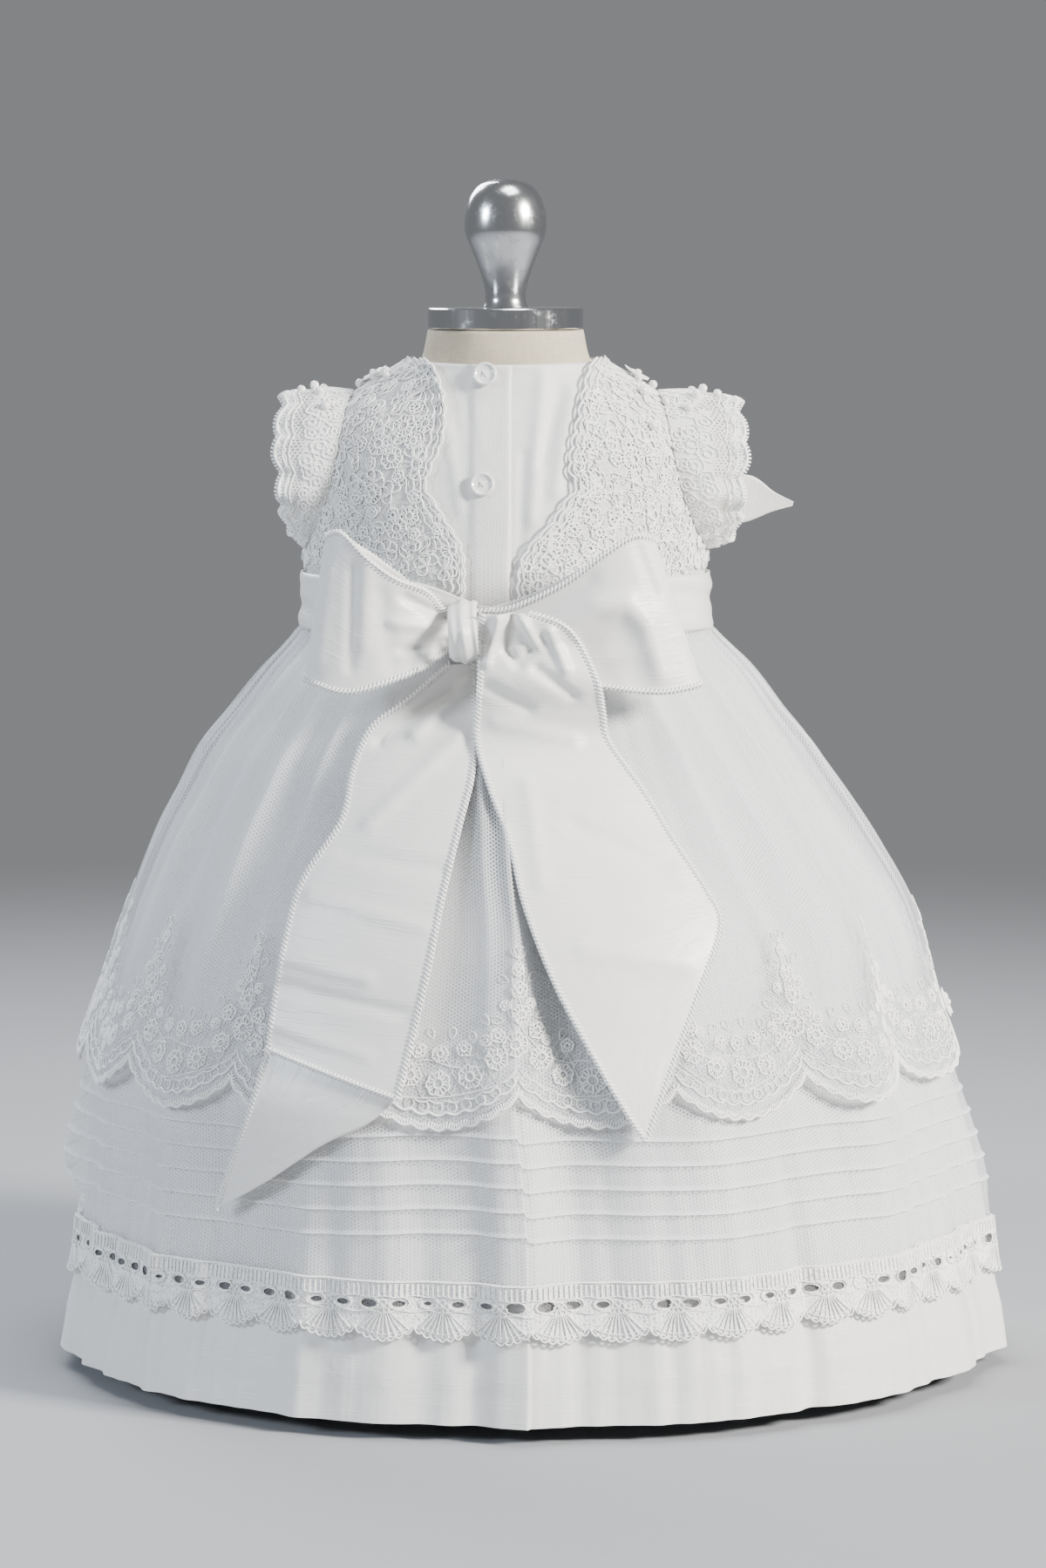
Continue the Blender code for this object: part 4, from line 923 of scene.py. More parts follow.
class Finish:
    """A material while it is made: its tree, its main shader and two kinds of coordinates.

    The pattern's are in centimetres on the flat cloth, and those in space are in metres.
    """

    def __init__(self, name, **constants):
        self.material = bpy.data.materials.new(name)
        self.material.use_nodes = True
        self.tree = self.material.node_tree
        self.shader = self.tree.nodes["Principled BSDF"]
        for key, value in constants.items():
            self.shader.inputs[key.replace("_", " ")].default_value = value
        self.pattern = place(self.tree, "ShaderNodeTexCoord", output="UV")
        self.space = place(self.tree, "ShaderNodeTexCoord", output="Object")

    def group(self, maker, where, output, **inputs):
        """Place one of the shared shader groups, with its own values."""
        node = self.tree.nodes.new("ShaderNodeGroup")
        node.node_tree = built(maker)
        self.tree.links.new(where.socket, node.inputs["Vector"])
        for key, value in inputs.items():
            node.inputs[key].default_value = value
        return [Value(self.tree, node.outputs[label]) for label in output.split()]

    def net(self, cell, strand):
        return self.group(net_group, self.pattern, "Mask", Cell=cell, Strand=strand)[0]

    def dents(self, size):
        return self.group(crumple_group, self.pattern, "Height", Size=size)[0]

    def feed(self, **values):
        for key, value in values.items():
            self.tree.links.new(value.socket, self.shader.inputs[key])

    def coloured(self, colour, shade):
        """Set a colour that a pattern makes lighter and darker."""
        grey = place(self.tree, "ShaderNodeCombineColor", {0: shade, 1: shade, 2: shade})
        mix = place(self.tree, "ShaderNodeMix", {0: 1.0, 6: (*colour, 1.0), 7: grey}, 2,
                    data_type="RGBA", blend_type="MULTIPLY")
        self.tree.links.new(mix.socket, self.shader.inputs["Base Color"])
        return self.material

    def bumped(self, height, distance, strength=0.6):
        self.feed(Normal=place(self.tree, "ShaderNodeBump", {
            "Height": height, "Distance": distance, "Strength": strength}))


def satin_material(name, colour, slubs, crumple, roughness, gathers=0.0):
    """Slubbed satin: uneven yarns, shallow crumples and upright gathers, softer at the hem."""
    finish = Finish(name, Roughness=roughness, Sheen_Weight=0.25, Sheen_Roughness=0.4,
                    Specular_IOR_Level=0.5)
    shade, weave = finish.group(slub_group, finish.pattern, "Shade Height", Slubs=slubs)
    height = weave * 0.10 + finish.dents(0.55) * crumple
    if gathers:
        fade = finish.pattern.split()[1].ramp(3.5, 9.0, 0.35, 1.0)
        height = finish.pattern.streaks(1.15, 0.09) * gathers * fade + height
    finish.bumped(height, 0.0016)
    return finish.coloured(colour, shade)


def bodice_material(name, colour, cell):
    """Satin under a layer of net, whose strands show as a fine diagonal grain."""
    finish = Finish(name, Roughness=0.5, Sheen_Weight=0.2, Sheen_Roughness=0.4)
    net = finish.net(cell, 0.1)
    finish.bumped(net * 0.12 + finish.dents(0.8) * 0.5, 0.0012, 0.5)
    return finish.coloured(colour, net * 0.10 + 0.90)


def net_material(name, colour, cell, thin, thick, mark):
    """See-through net, closer where the cloth's mark says that it is doubled or worked."""
    finish = Finish(name, Roughness=0.7, Sheen_Weight=0.1, Specular_IOR_Level=0.3)
    net = finish.net(cell, 0.15)
    layers = place(finish.tree, "ShaderNodeAttribute", output="Fac", attribute_name=mark)
    cloud = finish.pattern.streaks(0.30, 0.12) * 0.20 + -0.10
    cover = net * (thick - thin) + thin + cloud
    finish.feed(Alpha=place(finish.tree, "ShaderNodeMix", {0: layers, 2: cover, 3: 0.82},
                            data_type="FLOAT"))
    finish.bumped(net, 0.0002, 0.4)
    return finish.coloured(colour, net * 0.06 + 0.95)


def lace_ground_material(name, colour, cover):
    """The ground between embroidered cords: threads that ring uneven cells, over net."""
    finish = Finish(name, Roughness=0.75, Sheen_Weight=0.1)
    rings = (finish.pattern.cells(3.6) * 34.0).math("SINE").ramp(-0.3, 0.8)
    fill = rings.math("MAXIMUM", finish.net(0.12, 0.1) * 0.6)
    finish.feed(Alpha=fill * (1.0 - cover) + cover)
    finish.bumped(fill, 0.0007, 0.8)
    return finish.coloured(colour, fill * 0.10 + 0.90)


def thread_material(name, colour):
    """Embroidery and sewing thread."""
    finish = Finish(name, Roughness=0.55, Sheen_Weight=0.2)
    shade, pile = finish.group(thread_group, finish.space, "Shade Height", Fineness=1400.0)
    finish.bumped(pile, 0.0003, 0.5)
    return finish.coloured(colour, shade)


def edging_ground_material(name, colour):
    """Cotton lace ground with a row of ladder holes, in repeats along the strip."""
    finish = Finish(name, Roughness=0.8, Sheen_Weight=0.1)
    along, height = finish.pattern.split()
    hole_u = (along.math("PINGPONG", 0.5) + -0.25) * (1.0 / 0.19)
    hole_v = (height + -0.60) * (1.0 / 0.09)
    uneven = finish.pattern.streaks(0.9, 0.1, 1.0)
    reach = (hole_u * hole_u + hole_v * hole_v) * uneven.ramp(0.36, 0.58, 0.7, 3.2)
    solid = (reach + uneven.ramp(0.54, 0.64, 0.0, 1.2)).ramp(0.7, 1.1)
    open_work = finish.space.cells(620.0).ramp(0.10, 0.30, 1.0, 0.35)
    fill = (along * 75.0).math("SINE") * 0.18 + open_work
    finish.feed(Alpha=solid * fill.ramp(0.1, 0.8, 0.75, 1.0))
    finish.bumped(fill, 0.0005, 0.7)
    return finish.coloured(colour, fill.ramp(0.2, 0.9, 0.80, 1.0))


def hole_shadow_material(name):
    """Painted shadow: dark see-through net behind the ladder holes, standing in for their shade,
    uneven along the hem.
    """
    finish = Finish(name, Roughness=0.9)
    # Painted shadow: patchy cover along the hem and a dark grey colour in place of the shade in the
    # gap.
    finish.feed(Alpha=finish.pattern.streaks(0.22, 0.1, 1.0).ramp(0.40, 0.58) * 0.72 + 0.12)
    return finish.coloured((0.20, 0.20, 0.21), finish.net(0.12, 0.0) * 0.5 + 0.5)


def linen_material(name, colour):
    """Plain-woven linen with thick and thin yarns."""
    finish = Finish(name, Roughness=0.9, Sheen_Weight=0.1)
    weft, warp = ((part * 75.0).math("SINE") for part in finish.pattern.split())
    weave = weft * warp
    yarns = finish.pattern.streaks(1.0, 16.0) * finish.pattern.streaks(16.0, 1.0)
    finish.bumped(weave * 0.3 + yarns, 0.0004, 0.6)
    return finish.coloured(colour, weave * 0.06 + (yarns * 0.7 + 0.80))


def steel_material(name, roughness, across, along):
    """Turned and polished steel with fine scratches and handling marks."""
    finish = Finish(name, Metallic=1.0)
    lines = finish.space.streaks(across, along, 3.0)
    marks = finish.space.noise(160.0, 4.0, 0.7).ramp(0.52, 0.70)
    finish.feed(Roughness=marks * 0.14 + (lines * 0.16 + roughness))
    finish.bumped(marks * 0.2 + lines, 0.00012, 0.35)
    return finish.coloured((0.66, 0.67, 0.68), marks * -0.16 + 1.0)


def pearl_material(name, colour, gloss):
    """Clear or pearly plastic with faint clouds in it."""
    finish = Finish(name, Coat_Weight=1.0, Coat_Roughness=0.05, Subsurface_Weight=0.15,
                    Subsurface_Radius=(0.004, 0.004, 0.004))
    clouds = finish.space.noise(420.0, 1.0)
    finish.feed(Roughness=clouds * 0.08 + gloss)
    return finish.coloured(colour, clouds * 0.16 + 0.88)


def floor_material(name, colour):
    """Smooth studio floor that fades into the room's own colour."""
    finish = Finish(name, Roughness=0.85, Specular_IOR_Level=0.1)
    away = place(finish.tree, "ShaderNodeVectorMath", {0: finish.space}, "Value",
                 operation="LENGTH")
    finish.feed(Alpha=away.ramp(0.45, 1.9, 1.0, 0.0))
    return finish.coloured(colour, finish.space.noise(60.0, 4.0) * 0.03 + 0.985)


def finishes():
    """All the materials, by the names that the operators use."""
    colours = bpy.context.scene.gown_colours
    cell = bpy.context.scene.gown_sizes.net_cell * 100.0
    return {
        "satin": satin_material("skirt_satin", colours.satin, 0.5, 0.5, 0.40, 2.1),
        "ribbon": satin_material("slub_ribbon", colours.ribbon, 1.0, 0.45, 0.34),
        "bodice": bodice_material("netted_satin", colours.satin, cell * 0.9),
        "tucks": net_material("tucked_net", colours.net, cell, 0.06, 0.62, "doubled"),
        "veil": net_material("overskirt_net", colours.net, cell, 0.03, 0.50, "worked"),
        "sleeve": net_material("sleeve_net", colours.lace, cell, 0.15, 0.75, "worked"),
        "ground": lace_ground_material("bodice_lace_ground", colours.lace, 0.80),
        "thread": thread_material("lace_thread", colours.lace),
        "stitch": thread_material("overlock_thread", colours.lace),
        "edging": edging_ground_material("cotton_lace", colours.lace),
        # painted shadow behind the edging's ladder holes
        "hollow": hole_shadow_material("painted_shadow_behind_lace"),
        "linen": linen_material("form_linen", colours.linen),
        "knob": steel_material("polished_knob", 0.10, 60.0, 260.0),
        "cap": steel_material("polished_cap", 0.07, 20.0, 900.0),
        "stand": steel_material("stand_steel", 0.22, 300.0, 300.0),
        "pearl": pearl_material("pearl_bead", (0.90, 0.88, 0.86), 0.14),
        "button": pearl_material("clear_button", (0.84, 0.84, 0.83), 0.10),
        "petal": satin_material("flower_satin", colours.lace, 0.2, 0.4, 0.45),
        "floor": floor_material("studio_floor", colours.floor),
    }


def coat(name):
    """One of the materials, all of which are made at the first use."""
    return built(finishes)[name]


# ---------------------------------------------------------------- lace lines


def ringlet(x, z, radius, count, petals=0):
    """A ring seen flat, whose outline can swell into round petals."""
    turn = circle(count)
    reach = radius * (1.0 + 0.20 * np.abs(np.sin(0.5 * petals * turn)))
    return joined(x + reach * np.cos(turn), z + reach * np.sin(turn))


def wander(x, z, radius, rng, count, thickness):
    """A closed wandering line, as embroidery fills the ground between flowers."""
    turn = circle(count)
    reach = 1.0
    for waves, size in ((2.0, 0.38), (3.0, 0.28), (5.0, 0.20)):
        reach = reach + size * np.sin(waves * turn + rng.uniform(0, 6.3))
    return flat_line(x + radius * reach * np.cos(turn), z + radius * reach * np.sin(turn),
                     thickness)


def leaf(x, z, length, width, way, thickness, count=8):
    """A small pointed loop that leans one way; the angle is in degrees."""
    turn = circle(count)
    along = 0.5 * length * (1.0 - np.cos(turn))
    across = 0.5 * width * np.sin(turn) * np.sin(0.5 * turn)
    cosine, sine = polar(way)
    return flat_line(x + along * cosine - across * sine, z + along * sine + across * cosine,
                     thickness)


def flower_lines(x, z, radius, rng, thickness):
    """One embroidered flower: a petalled ring, a smaller ring and the bars between them."""
    petals = 5 if radius < 3.4 else 7
    spin = rng.uniform(0.0, 6.3)
    cosine, sine = math.cos(spin), math.sin(spin)
    rotate = np.array([[cosine, sine], [-sine, cosine]])
    lines = [Line(ring @ rotate + np.array([[x, z]]), True, thickness * share)
             for ring, share in ((ringlet(0.0, 0.0, radius * 0.88, petals * 3, petals), 1.0),
                                 (ringlet(0.0, 0.0, radius * 0.42, petals + 2), 1.1))]
    for k in range(petals * 2):
        turn = spin + math.pi * (k + 0.5) / petals + rng.uniform(-0.1, 0.1)
        reach = radius * np.array([0.40, 0.96])
        lines.append(flat_line(x + reach * math.cos(turn), z + reach * math.sin(turn),
                               thickness * 0.9, False))
    return lines


def scallop_lines(rng):
    """The embroidery of one scallop, flat: flowers, stems, leaves and the ground's threads."""
    flat = []
    for bloom in BLOOMS:
        x = bloom.x + rng.uniform(-1.0, 1.0)
        z = bloom.z + rng.uniform(-1.0, 1.0)
        flat += flower_lines(x, z, bloom.radius * rng.uniform(0.92, 1.08), rng, 0.52)
    for stem in STEMS:
        bent = [(x + rng.uniform(-1, 1), z + rng.uniform(-1, 1)) for x, z in stem]
        flat.append(Line(resample(bent, 5 * len(stem)), False, 0.34))
    for x, z, way in LEAVES:
        flat.append(leaf(x, z, 5.0, 4.2, way + rng.uniform(-12, 12), 0.32))
    for _ in range(9):
        x = rng.uniform(-26, 30)
        z = rng.uniform(14, 32) + 12.0 * (abs(x) / 30.0) ** 2
        flat.append(wander(x, z, rng.uniform(2.2, 3.6), rng, 12, 0.20))
    for k in range(18):
        foot = -27.0 + 6.5 * (k // 2) + rng.uniform(-1.5, 1.5)
        reach = rng.uniform(14.0, 22.0)
        x = foot + (1 if k % 2 else -1) * np.linspace(0.0, 0.55 * reach, 5)
        z = 12.0 + 13.0 * (np.abs(x) / 30.0) ** 2 + np.linspace(0.0, reach, 5)
        flat.append(flat_line(x, z + 0.6 * np.sin(x), 0.17, False))
    return flat


def overskirt_lines():
    """The embroidered border of the overskirt, as lines at (angle, height), and its edge."""
    lines = []
    for k in range(SCALLOPS):
        centre = BACK + (k + 0.5) * 360.0 / SCALLOPS
        lowest = scallop_line(centre) - SCALLOP_DEPTH
        lines += moved(scallop_lines(random.Random(100 + k)), centre, lowest, SCALLOP_SCALE)
    turn = around(0.36)
    ripple = scallop_swing(turn, RIPPLES)
    for height, swing, thickness in ((0.9, 1.7, 0.95), (6.9, 1.5, 0.75), (11.6, 1.4, 0.45)):
        lines.append(flat_line(turn, overskirt_edge(turn) + height - swing * ripple, thickness))
    count = SCALLOPS * 11
    for k in range(count):
        angle = BACK + (k + 0.5) * 360.0 / count
        ring = Line(ringlet(0.0, 0.0, 2.0, 8), True, 0.34)
        lines += moved([ring], angle, overskirt_edge(angle) + 8.8, SCALLOP_SCALE)
    return lines


def edging_repeat():
    """One repeat of the edging, drawn from its notch: scallop, fan, rosette, holes and bars."""
    width = 360.0 / EDGING_REPEATS
    part = evenly(43)
    scallop = EDGING_DEPTH * np.sin(math.pi * part) ** EDGING_ROUND
    outline = EDGING_NOTCH - (scallop + 1.3 * np.abs(np.sin(part * math.pi * 7.0)))
    inner = part[4:-4:3]
    inline = EDGING_NOTCH + 1.4 - 4.6 * np.sin(math.pi * inner) ** 0.8
    lines = [flat_line(part * width, outline, 0.55, False),
             flat_line(inner * width, inline, 0.36, False)]
    fan_top = 55.2
    for at in 0.08 + 0.105 * np.arange(9):
        foot = EDGING_NOTCH + 0.6 - EDGING_DEPTH * math.sin(math.pi * at) ** EDGING_ROUND
        ray = [(0.36 + at * 0.28) * width, at * width]
        lines.append(flat_line(ray, [fan_top, foot], 0.40, False))
    rosette = [leaf(0.0, 0.0, 3.0, 3.4, 90.0 + 72.0 * petal, 0.34, 6) for petal in range(5)]
    lines += moved(rosette, 0.5 * width, 57.6, EDGING_SCALE)
    hole = Line(ringlet(0.0, 0.0, 1.0, 10) * np.array([[4.4, 2.7]]), True, 0.40)
    for side in (0.25, 0.75):
        lines += moved([hole], side * width, 59.2, EDGING_SCALE)
    bars = 11
    for bar in range(bars):
        lines.append(flat_line((bar + 0.5) / bars * width, [62.0, 67.6], 0.34, False))
    return lines


def edging_lines():
    """The beading lace at the hem, as lines at (angle, height)."""
    lines = []
    repeat = edging_repeat()
    for k in range(EDGING_REPEATS):
        lines += moved(repeat, BACK + k * 360.0 / EDGING_REPEATS, 0.0, 1.0)
    turn = around(0.6)
    wave = np.cos(np.radians(turn - BACK) * EDGING_REPEATS * 2.0)
    for level, swing, thickness in ((68.2, 0.0, 0.50), (61.9, 0.5, 0.42), (55.6, -0.5, 0.42)):
        lines.append(flat_line(turn, level + swing * wave, thickness))
    return lines


def lace_edge(part, z):
    """Where the inner edge of the lace on the back runs."""
    return smooth(LACE_EDGE, part.replace("back_", "") + "_x", z)


def bodice_lace_bounds(part, z):
    """The first and last angle of a piece of bodice lace at a height."""
    armhole = armhole_angle(z)
    if part.startswith("back"):
        middle = back_angle(lace_edge(part, z), z)
    else:
        middle = np.full_like(armhole, FRONT)
    first = {"back_left": LEFT_SIDE + armhole, "front_right": armhole}.get(part, middle)
    last = {"back_right": -armhole, "front_left": 180.0 - armhole}.get(part, middle)
    return first, last


def bodice_motif(rng):
    """One motif of the bodice lace, flat: a flower, four leaves or wandering lines."""
    kind = rng.random()
    if kind < 0.56:
        flat = flower_lines(0.0, 0.0, rng.uniform(2.3, 4.9), rng, 0.46)
    elif kind < 0.80:
        lean = rng.uniform(0.0, 360.0)
        flat = [leaf(0.0, 0.0, 5.4, 6.0, lean + 62.0 * k, 0.44) for k in range(4)]
    else:
        flat = [wander(0.0, 0.0, size, rng, 14, 0.40) for size in (3.6, 2.2)]
    for _ in range(2):
        flat.append(wander(rng.uniform(-4, 4), rng.uniform(-4, 4), rng.uniform(1.4, 2.6), rng,
                           10, 0.24))
    return flat


def bodice_lines(part, seed):
    """Dense flowers, wandering lines and scalloped cords over one piece of bodice lace."""
    rng = random.Random(seed)
    lines = []
    for row in range(14):
        z = LACE_FOOT + 7.6 * row
        first, last = (float(value) for value in bodice_lace_bounds(part, z))
        cosine, sine = polar(0.5 * (first + last))
        scale = math.radians(1.0) * math.hypot(smooth(TORSO, "half_width", z) * sine,
                                               smooth(TORSO, "half_depth", z) * cosine)
        count = max(1, int((last - first) * scale / 8.4))
        for k in range(count):
            offset = (k + 0.5 + (0.25 if row % 2 else -0.25)) / count
            angle = first + (last - first) * offset + rng.uniform(-1.2, 1.2) / scale
            height = z + rng.uniform(-1.6, 1.6)
            lines += moved(bodice_motif(rng), angle, height, scale)
    kept = []
    for line in lines:
        angle, height = line.points.T
        low, high = bodice_lace_bounds(part, height)
        inside = (angle > low - 0.5) & (angle < high + 0.5) & (height < NECK_Z - 0.5)
        if (inside & (height > sash_top(angle) + 0.8)).all():
            kept.append(line)
    if part.startswith("back"):
        away = -1.0 if part == "back_left" else 1.0
        z = np.arange(LACE_FOOT, NECK_Z, 0.8)
        ripple = np.abs(np.sin(z * math.pi / 6.4))
        for offset, thickness in ((0.2, 0.62), (2.4, 0.40), (5.4, 0.50), (8.6, 0.40)):
            angle = back_angle(lace_edge(part, z) + away * (offset - 1.2 * ripple), z)
            shown = z > sash_top(angle) + 0.8
            kept.append(flat_line(angle[shown], z[shown], thickness, False))
    return kept


def lace_lift(part, angle, z):
    """How far the bodice lace stands off the torso: its inner edge lifts towards the neck."""
    lift = LACE_LIFT + CLOTH + np.zeros(np.broadcast(angle, z).shape)
    if part.startswith("front"):
        return lift
    height = 3.0 if part == "back_left" else 1.0
    away = np.abs(torso_x(angle, z) - lace_edge(part, z))
    curl = height * np.exp(-away / 4.5) * step(418.0, 436.0, z)
    return lift + curl * (0.75 + 0.25 * np.sin(z * 0.8))


# ---------------------------------------------------------------- operators


class GOWN_OT_stage(Operator):
    """Make the floor, the lights and the camera."""

    bl_idname = "gown.stage"
    bl_label = "Stage"

    def execute(self, context):
        radius = np.linspace(0.0, FLOOR_RADIUS, 24)[1:, None]
        turn = circle(96)
        rings = joined(radius * np.cos(turn), radius * np.sin(turn), FLOOR_Z)
        rings = np.concatenate([rings[:1] * (0.001, 0.001, 1.0), rings])
        cloth("studio_floor", rings[::-1], "floor", closed=True)
        world = bpy.data.worlds.new("studio")
        world.use_nodes = True
        sky = world.node_tree.nodes["Background"]
        sky.inputs["Color"].default_value = ROOM_COLOUR
        sky.inputs["Strength"].default_value = ROOM_LIGHT
        context.scene.world = world
        for light in LIGHTS:
            lamp = bpy.data.lights.new("studio_" + light.name, "AREA")
            lamp.size = light.size
            lamp.energy = light.power
            lamp.color = light.tint
            item = link("studio_" + light.name, lamp)
            item.location = light.at
            aim = Vector((0.0, 0.0, light.aim_z)) - item.location
            item.rotation_euler = aim.to_track_quat("-Z", "Y").to_euler()
        eye = bpy.data.cameras.new("studio_camera")
        eye.lens = CAMERA_LENS
        eye.sensor_width = 36.0
        camera = link("studio_camera", eye)
        camera.location = CAMERA_AT
        camera.rotation_euler = (math.radians(90.0 - CAMERA_PITCH), 0.0, 0.0)
        context.scene.camera = camera
        return {"FINISHED"}


class GOWN_OT_dress_form(Operator):
    """Make the linen torso, its metal cap and knob, and finish the pole and the foot."""

    bl_idname = "gown.dress_form"
    bl_label = "Dress Form"

    def execute(self, context):
        angles = np.arange(96) * 3.75
        levels = np.concatenate([np.linspace(FORM_BOTTOM, 262.0, 14),
                                 np.linspace(268.0, 436.0, 36),
                                 np.linspace(440.0, 476.2, 24)])[:, None]
        creases = 0.25 * np.sin(np.radians(angles) * 9.0) * step(462.0, 476.0, levels)
        grid = torso_point(angles, levels, -FORM_EASE + creases)
        grid[0, :, 2] = FORM_BOTTOM
        middles = grid.mean(axis=1, keepdims=True)
        ends = middles + (grid - middles) * 0.02
        grid = np.concatenate([ends[:1], grid, ends[-1:]])
        heights = np.concatenate([[FORM_BOTTOM - 1.0], levels[:, 0], [480.0]])[:, None] / 10.0
        girth = 46.0
        pattern = joined(np.linspace(0.0, girth, 97), heights)
        torso = cloth("linen_torso", grid, "linen", pattern, closed=True)
        worn(torso, "linen", "form_torso")
        cap = turned("metal_cap", CAP_PROFILE, 96, "cap", sharp=35.0)
        worn(cap, "steel", "form_cap")
        knob = turned("metal_knob", resample(KNOB_PROFILE, 61), 64, "knob", sharp=50.0)
        worn(knob, "steel", "form_knob")
        for node in ("form_pole", "form_base"):
            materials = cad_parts[node].data.materials
            materials.clear()
            materials.append(coat("stand"))
        return {"FINISHED"}


def skirt_columns():
    """Angles round the skirt, from the middle of the back, closer together at that seam."""
    even = np.arange(BACK + 3.0, BACK + 357.01, 0.75)
    near = np.array([0.0, 0.25, 0.5, 0.8, 1.2, 1.7, 2.3])
    return np.concatenate([BACK + near, even, BACK + 360.0 - near[:0:-1]])


def skirt_pattern(angles, z, radius=19.2, stretch=1.08):
    """Pattern coordinates round a skirt, in centimetres at the width of its lower half."""
    turns = np.append(angles, BACK + 360.0) - BACK
    z = np.concatenate([z, z[:, :1]], axis=1) if z.shape[1] > 1 else z
    return joined(np.radians(turns) * radius, z * 0.1 * stretch)


class GOWN_OT_underskirt(Operator):
    """Make the satin underskirt with its gathers, hem and back seam."""

    bl_idname = "gown.underskirt"
    bl_label = "Underskirt"

    def execute(self, context):
        angles = skirt_columns()
        z = np.concatenate([np.linspace(HEM_Z, 60.0, 15), np.linspace(66.0, 300.0, 48),
                            np.linspace(304.0, SKIRT_TOP, 16)])[:, None]
        lift = -0.25 - 1.6 * drawn_in(z) - 0.35 * step(24.5, 23.5, z)
        grid = skirt_point(angles, z, lift)
        level = unit(grid[..., :2] - np.array([11.0, 0.0]))
        away = apart(angles, BACK)
        edge = np.where(away < 0.0, np.exp(away / 3.0), -0.35 * np.exp(-away / 2.0))
        grid[..., :2] += level * (0.96 * step(190.0, 120.0, z) * edge)[..., None]
        satin = cloth("satin_underskirt", grid, "satin",
                      skirt_pattern(angles, z), closed=True)
        worn(satin, "satin", "underskirt_front_left", "underskirt_front_right",
             "underskirt_back_left", "underskirt_back_right")
        return {"FINISHED"}


def tuck_shift(angle):
    """The tucks wander up and down, and don't meet at the back seam."""
    turn = np.radians(angle)
    away = apart(angle, BACK)
    wandering = (1.0 * np.sin(3.0 * turn + 0.35) + 0.6 * np.sin(7.0 * turn + 0.9)
                 + 0.35 * np.sin(13.0 * turn))
    return wandering + np.where(away < 0.0, 1.5, -1.1) * np.exp(-np.abs(away) / 20.0)


def net_flare(angle, z):
    """The tucked net stands away from the satin at the left, in a soft point, and the right."""
    rise = np.where(z < 92.0, step(70.0, 92.0, z), step(165.0, 92.0, z) ** 1.6)
    return rise * (10.5 * bell(apart(angle, -176.0), 6.0) + 2.6 * bell(apart(angle, -2.0), 14.0))


class GOWN_OT_tucked_net(Operator):
    """Make the tucked net skirt: five sewn tucks above the lace edging."""

    bl_idname = "gown.tucked_net"
    bl_label = "Tucked Net Skirt"

    def execute(self, context):
        angles = skirt_columns()
        rows = [(z, 0.0, 0.0) for z in (69.0, 72.0, 76.0, 80.0, 84.0)]
        for tuck in TUCK_HEIGHTS:
            rows += [(tuck + row.offset, row.lip, row.doubled) for row in TUCK_ROWS]
        rows += [(z, 0.0, 0.0) for z in np.linspace(139.0, 300.0, 32)]
        rows += [(z, 0.0, 0.0) for z in np.linspace(304.0, SKIRT_TOP, 14)]
        heights, lips, doubled = np.array(rows).T[:, :, None]
        near_tucks = step(70.0, 84.0, heights) * step(150.0, 134.0, heights)
        z = heights + tuck_shift(angles) * near_tucks
        lift = smooth(SKIRT, "tuck_lift", z) + lips + net_flare(angles, z)
        lift = lift - 1.4 * drawn_in(z)
        net = cloth("tucked_net_skirt", skirt_point(angles, z, lift), "tucks",
                    skirt_pattern(angles, z), closed=True, marks={"doubled": doubled})
        worn(net, "net", "tucked_skirt_front", "tucked_skirt_back_left",
             "tucked_skirt_back_right")
        turn = around(0.9) + 0.45
        lines = [flat_line(turn, tuck - 0.1 + tuck_shift(turn), 0.22, False)
                 for tuck in TUCK_HEIGHTS]
        lines = laid_on(lines, lambda angle, z: skirt_point(
            angle, z, smooth(SKIRT, "tuck_lift", z) + 0.95 + net_flare(angle, z)))
        folds = cords("tuck_folds", lines, "net", "stitch", 4)
        return {"FINISHED"}


class GOWN_OT_lace_edging(Operator):
    """Make the beading lace below the tucks: ground, ladder holes, fans and picots, and a strip of
    painted shadow behind the holes.
    """

    bl_idname = "gown.lace_edging"
    bl_label = "Lace Edging"

    def execute(self, context):
        angles = around(360.0 / (EDGING_REPEATS * 12))
        low = EDGING_NOTCH - EDGING_DEPTH * scallop_swing(angles, EDGING_REPEATS) ** EDGING_ROUND
        rows = np.append(evenly(9), 1.02)[:, None]
        z = blend(low, EDGING_TOP, rows)
        lift = np.where(rows > 1.0, smooth(SKIRT, "tuck_lift", EDGING_TOP + 0.4) + 0.1, 3.0)
        pattern = skirt_pattern(angles, z - 44.0, EDGING_REPEATS / (2.0 * math.pi), 0.4)
        ground = cloth("edging_ground", skirt_point(angles, z, lift), "edging", pattern,
                       closed=True)
        worn(ground, "lace", "lace_edging_front", "lace_edging_back_left",
             "lace_edging_back_right")
        lines = laid_on(edging_lines(), lambda angle, z: skirt_point(angle, z, 3.35))
        threads = cords("edging_cords", lines, "lace", "thread")
        # A dark strip behind the ladder holes: painted shadow, a sheet put where there is only
        # shade.
        columns = around(1.5)
        levels = np.linspace(56.8, 61.8, 3)[:, None]
        hollow = cloth("edging_painted_shadow", skirt_point(columns, levels, 2.3), "hollow",
                       skirt_pattern(columns, levels, 20.0, 1.0), closed=True)
        worn(hollow, "lace")
        return {"FINISHED"}


def pleat_height(angle, z):
    """Height of the overskirt's own narrow pleats."""
    height = np.zeros(np.broadcast(angle, z).shape)
    for pleat in PLEATS:
        part = np.clip((pleat.top - z) / (pleat.top - pleat.bottom), 0.0, 1.0)
        where = pleat.top_angle + (pleat.low_angle - pleat.top_angle) * part
        swell = pleat.height * np.sin(math.pi * part**0.7)
        height = height + swell * bell(apart(angle, where), pleat.width)
    return height


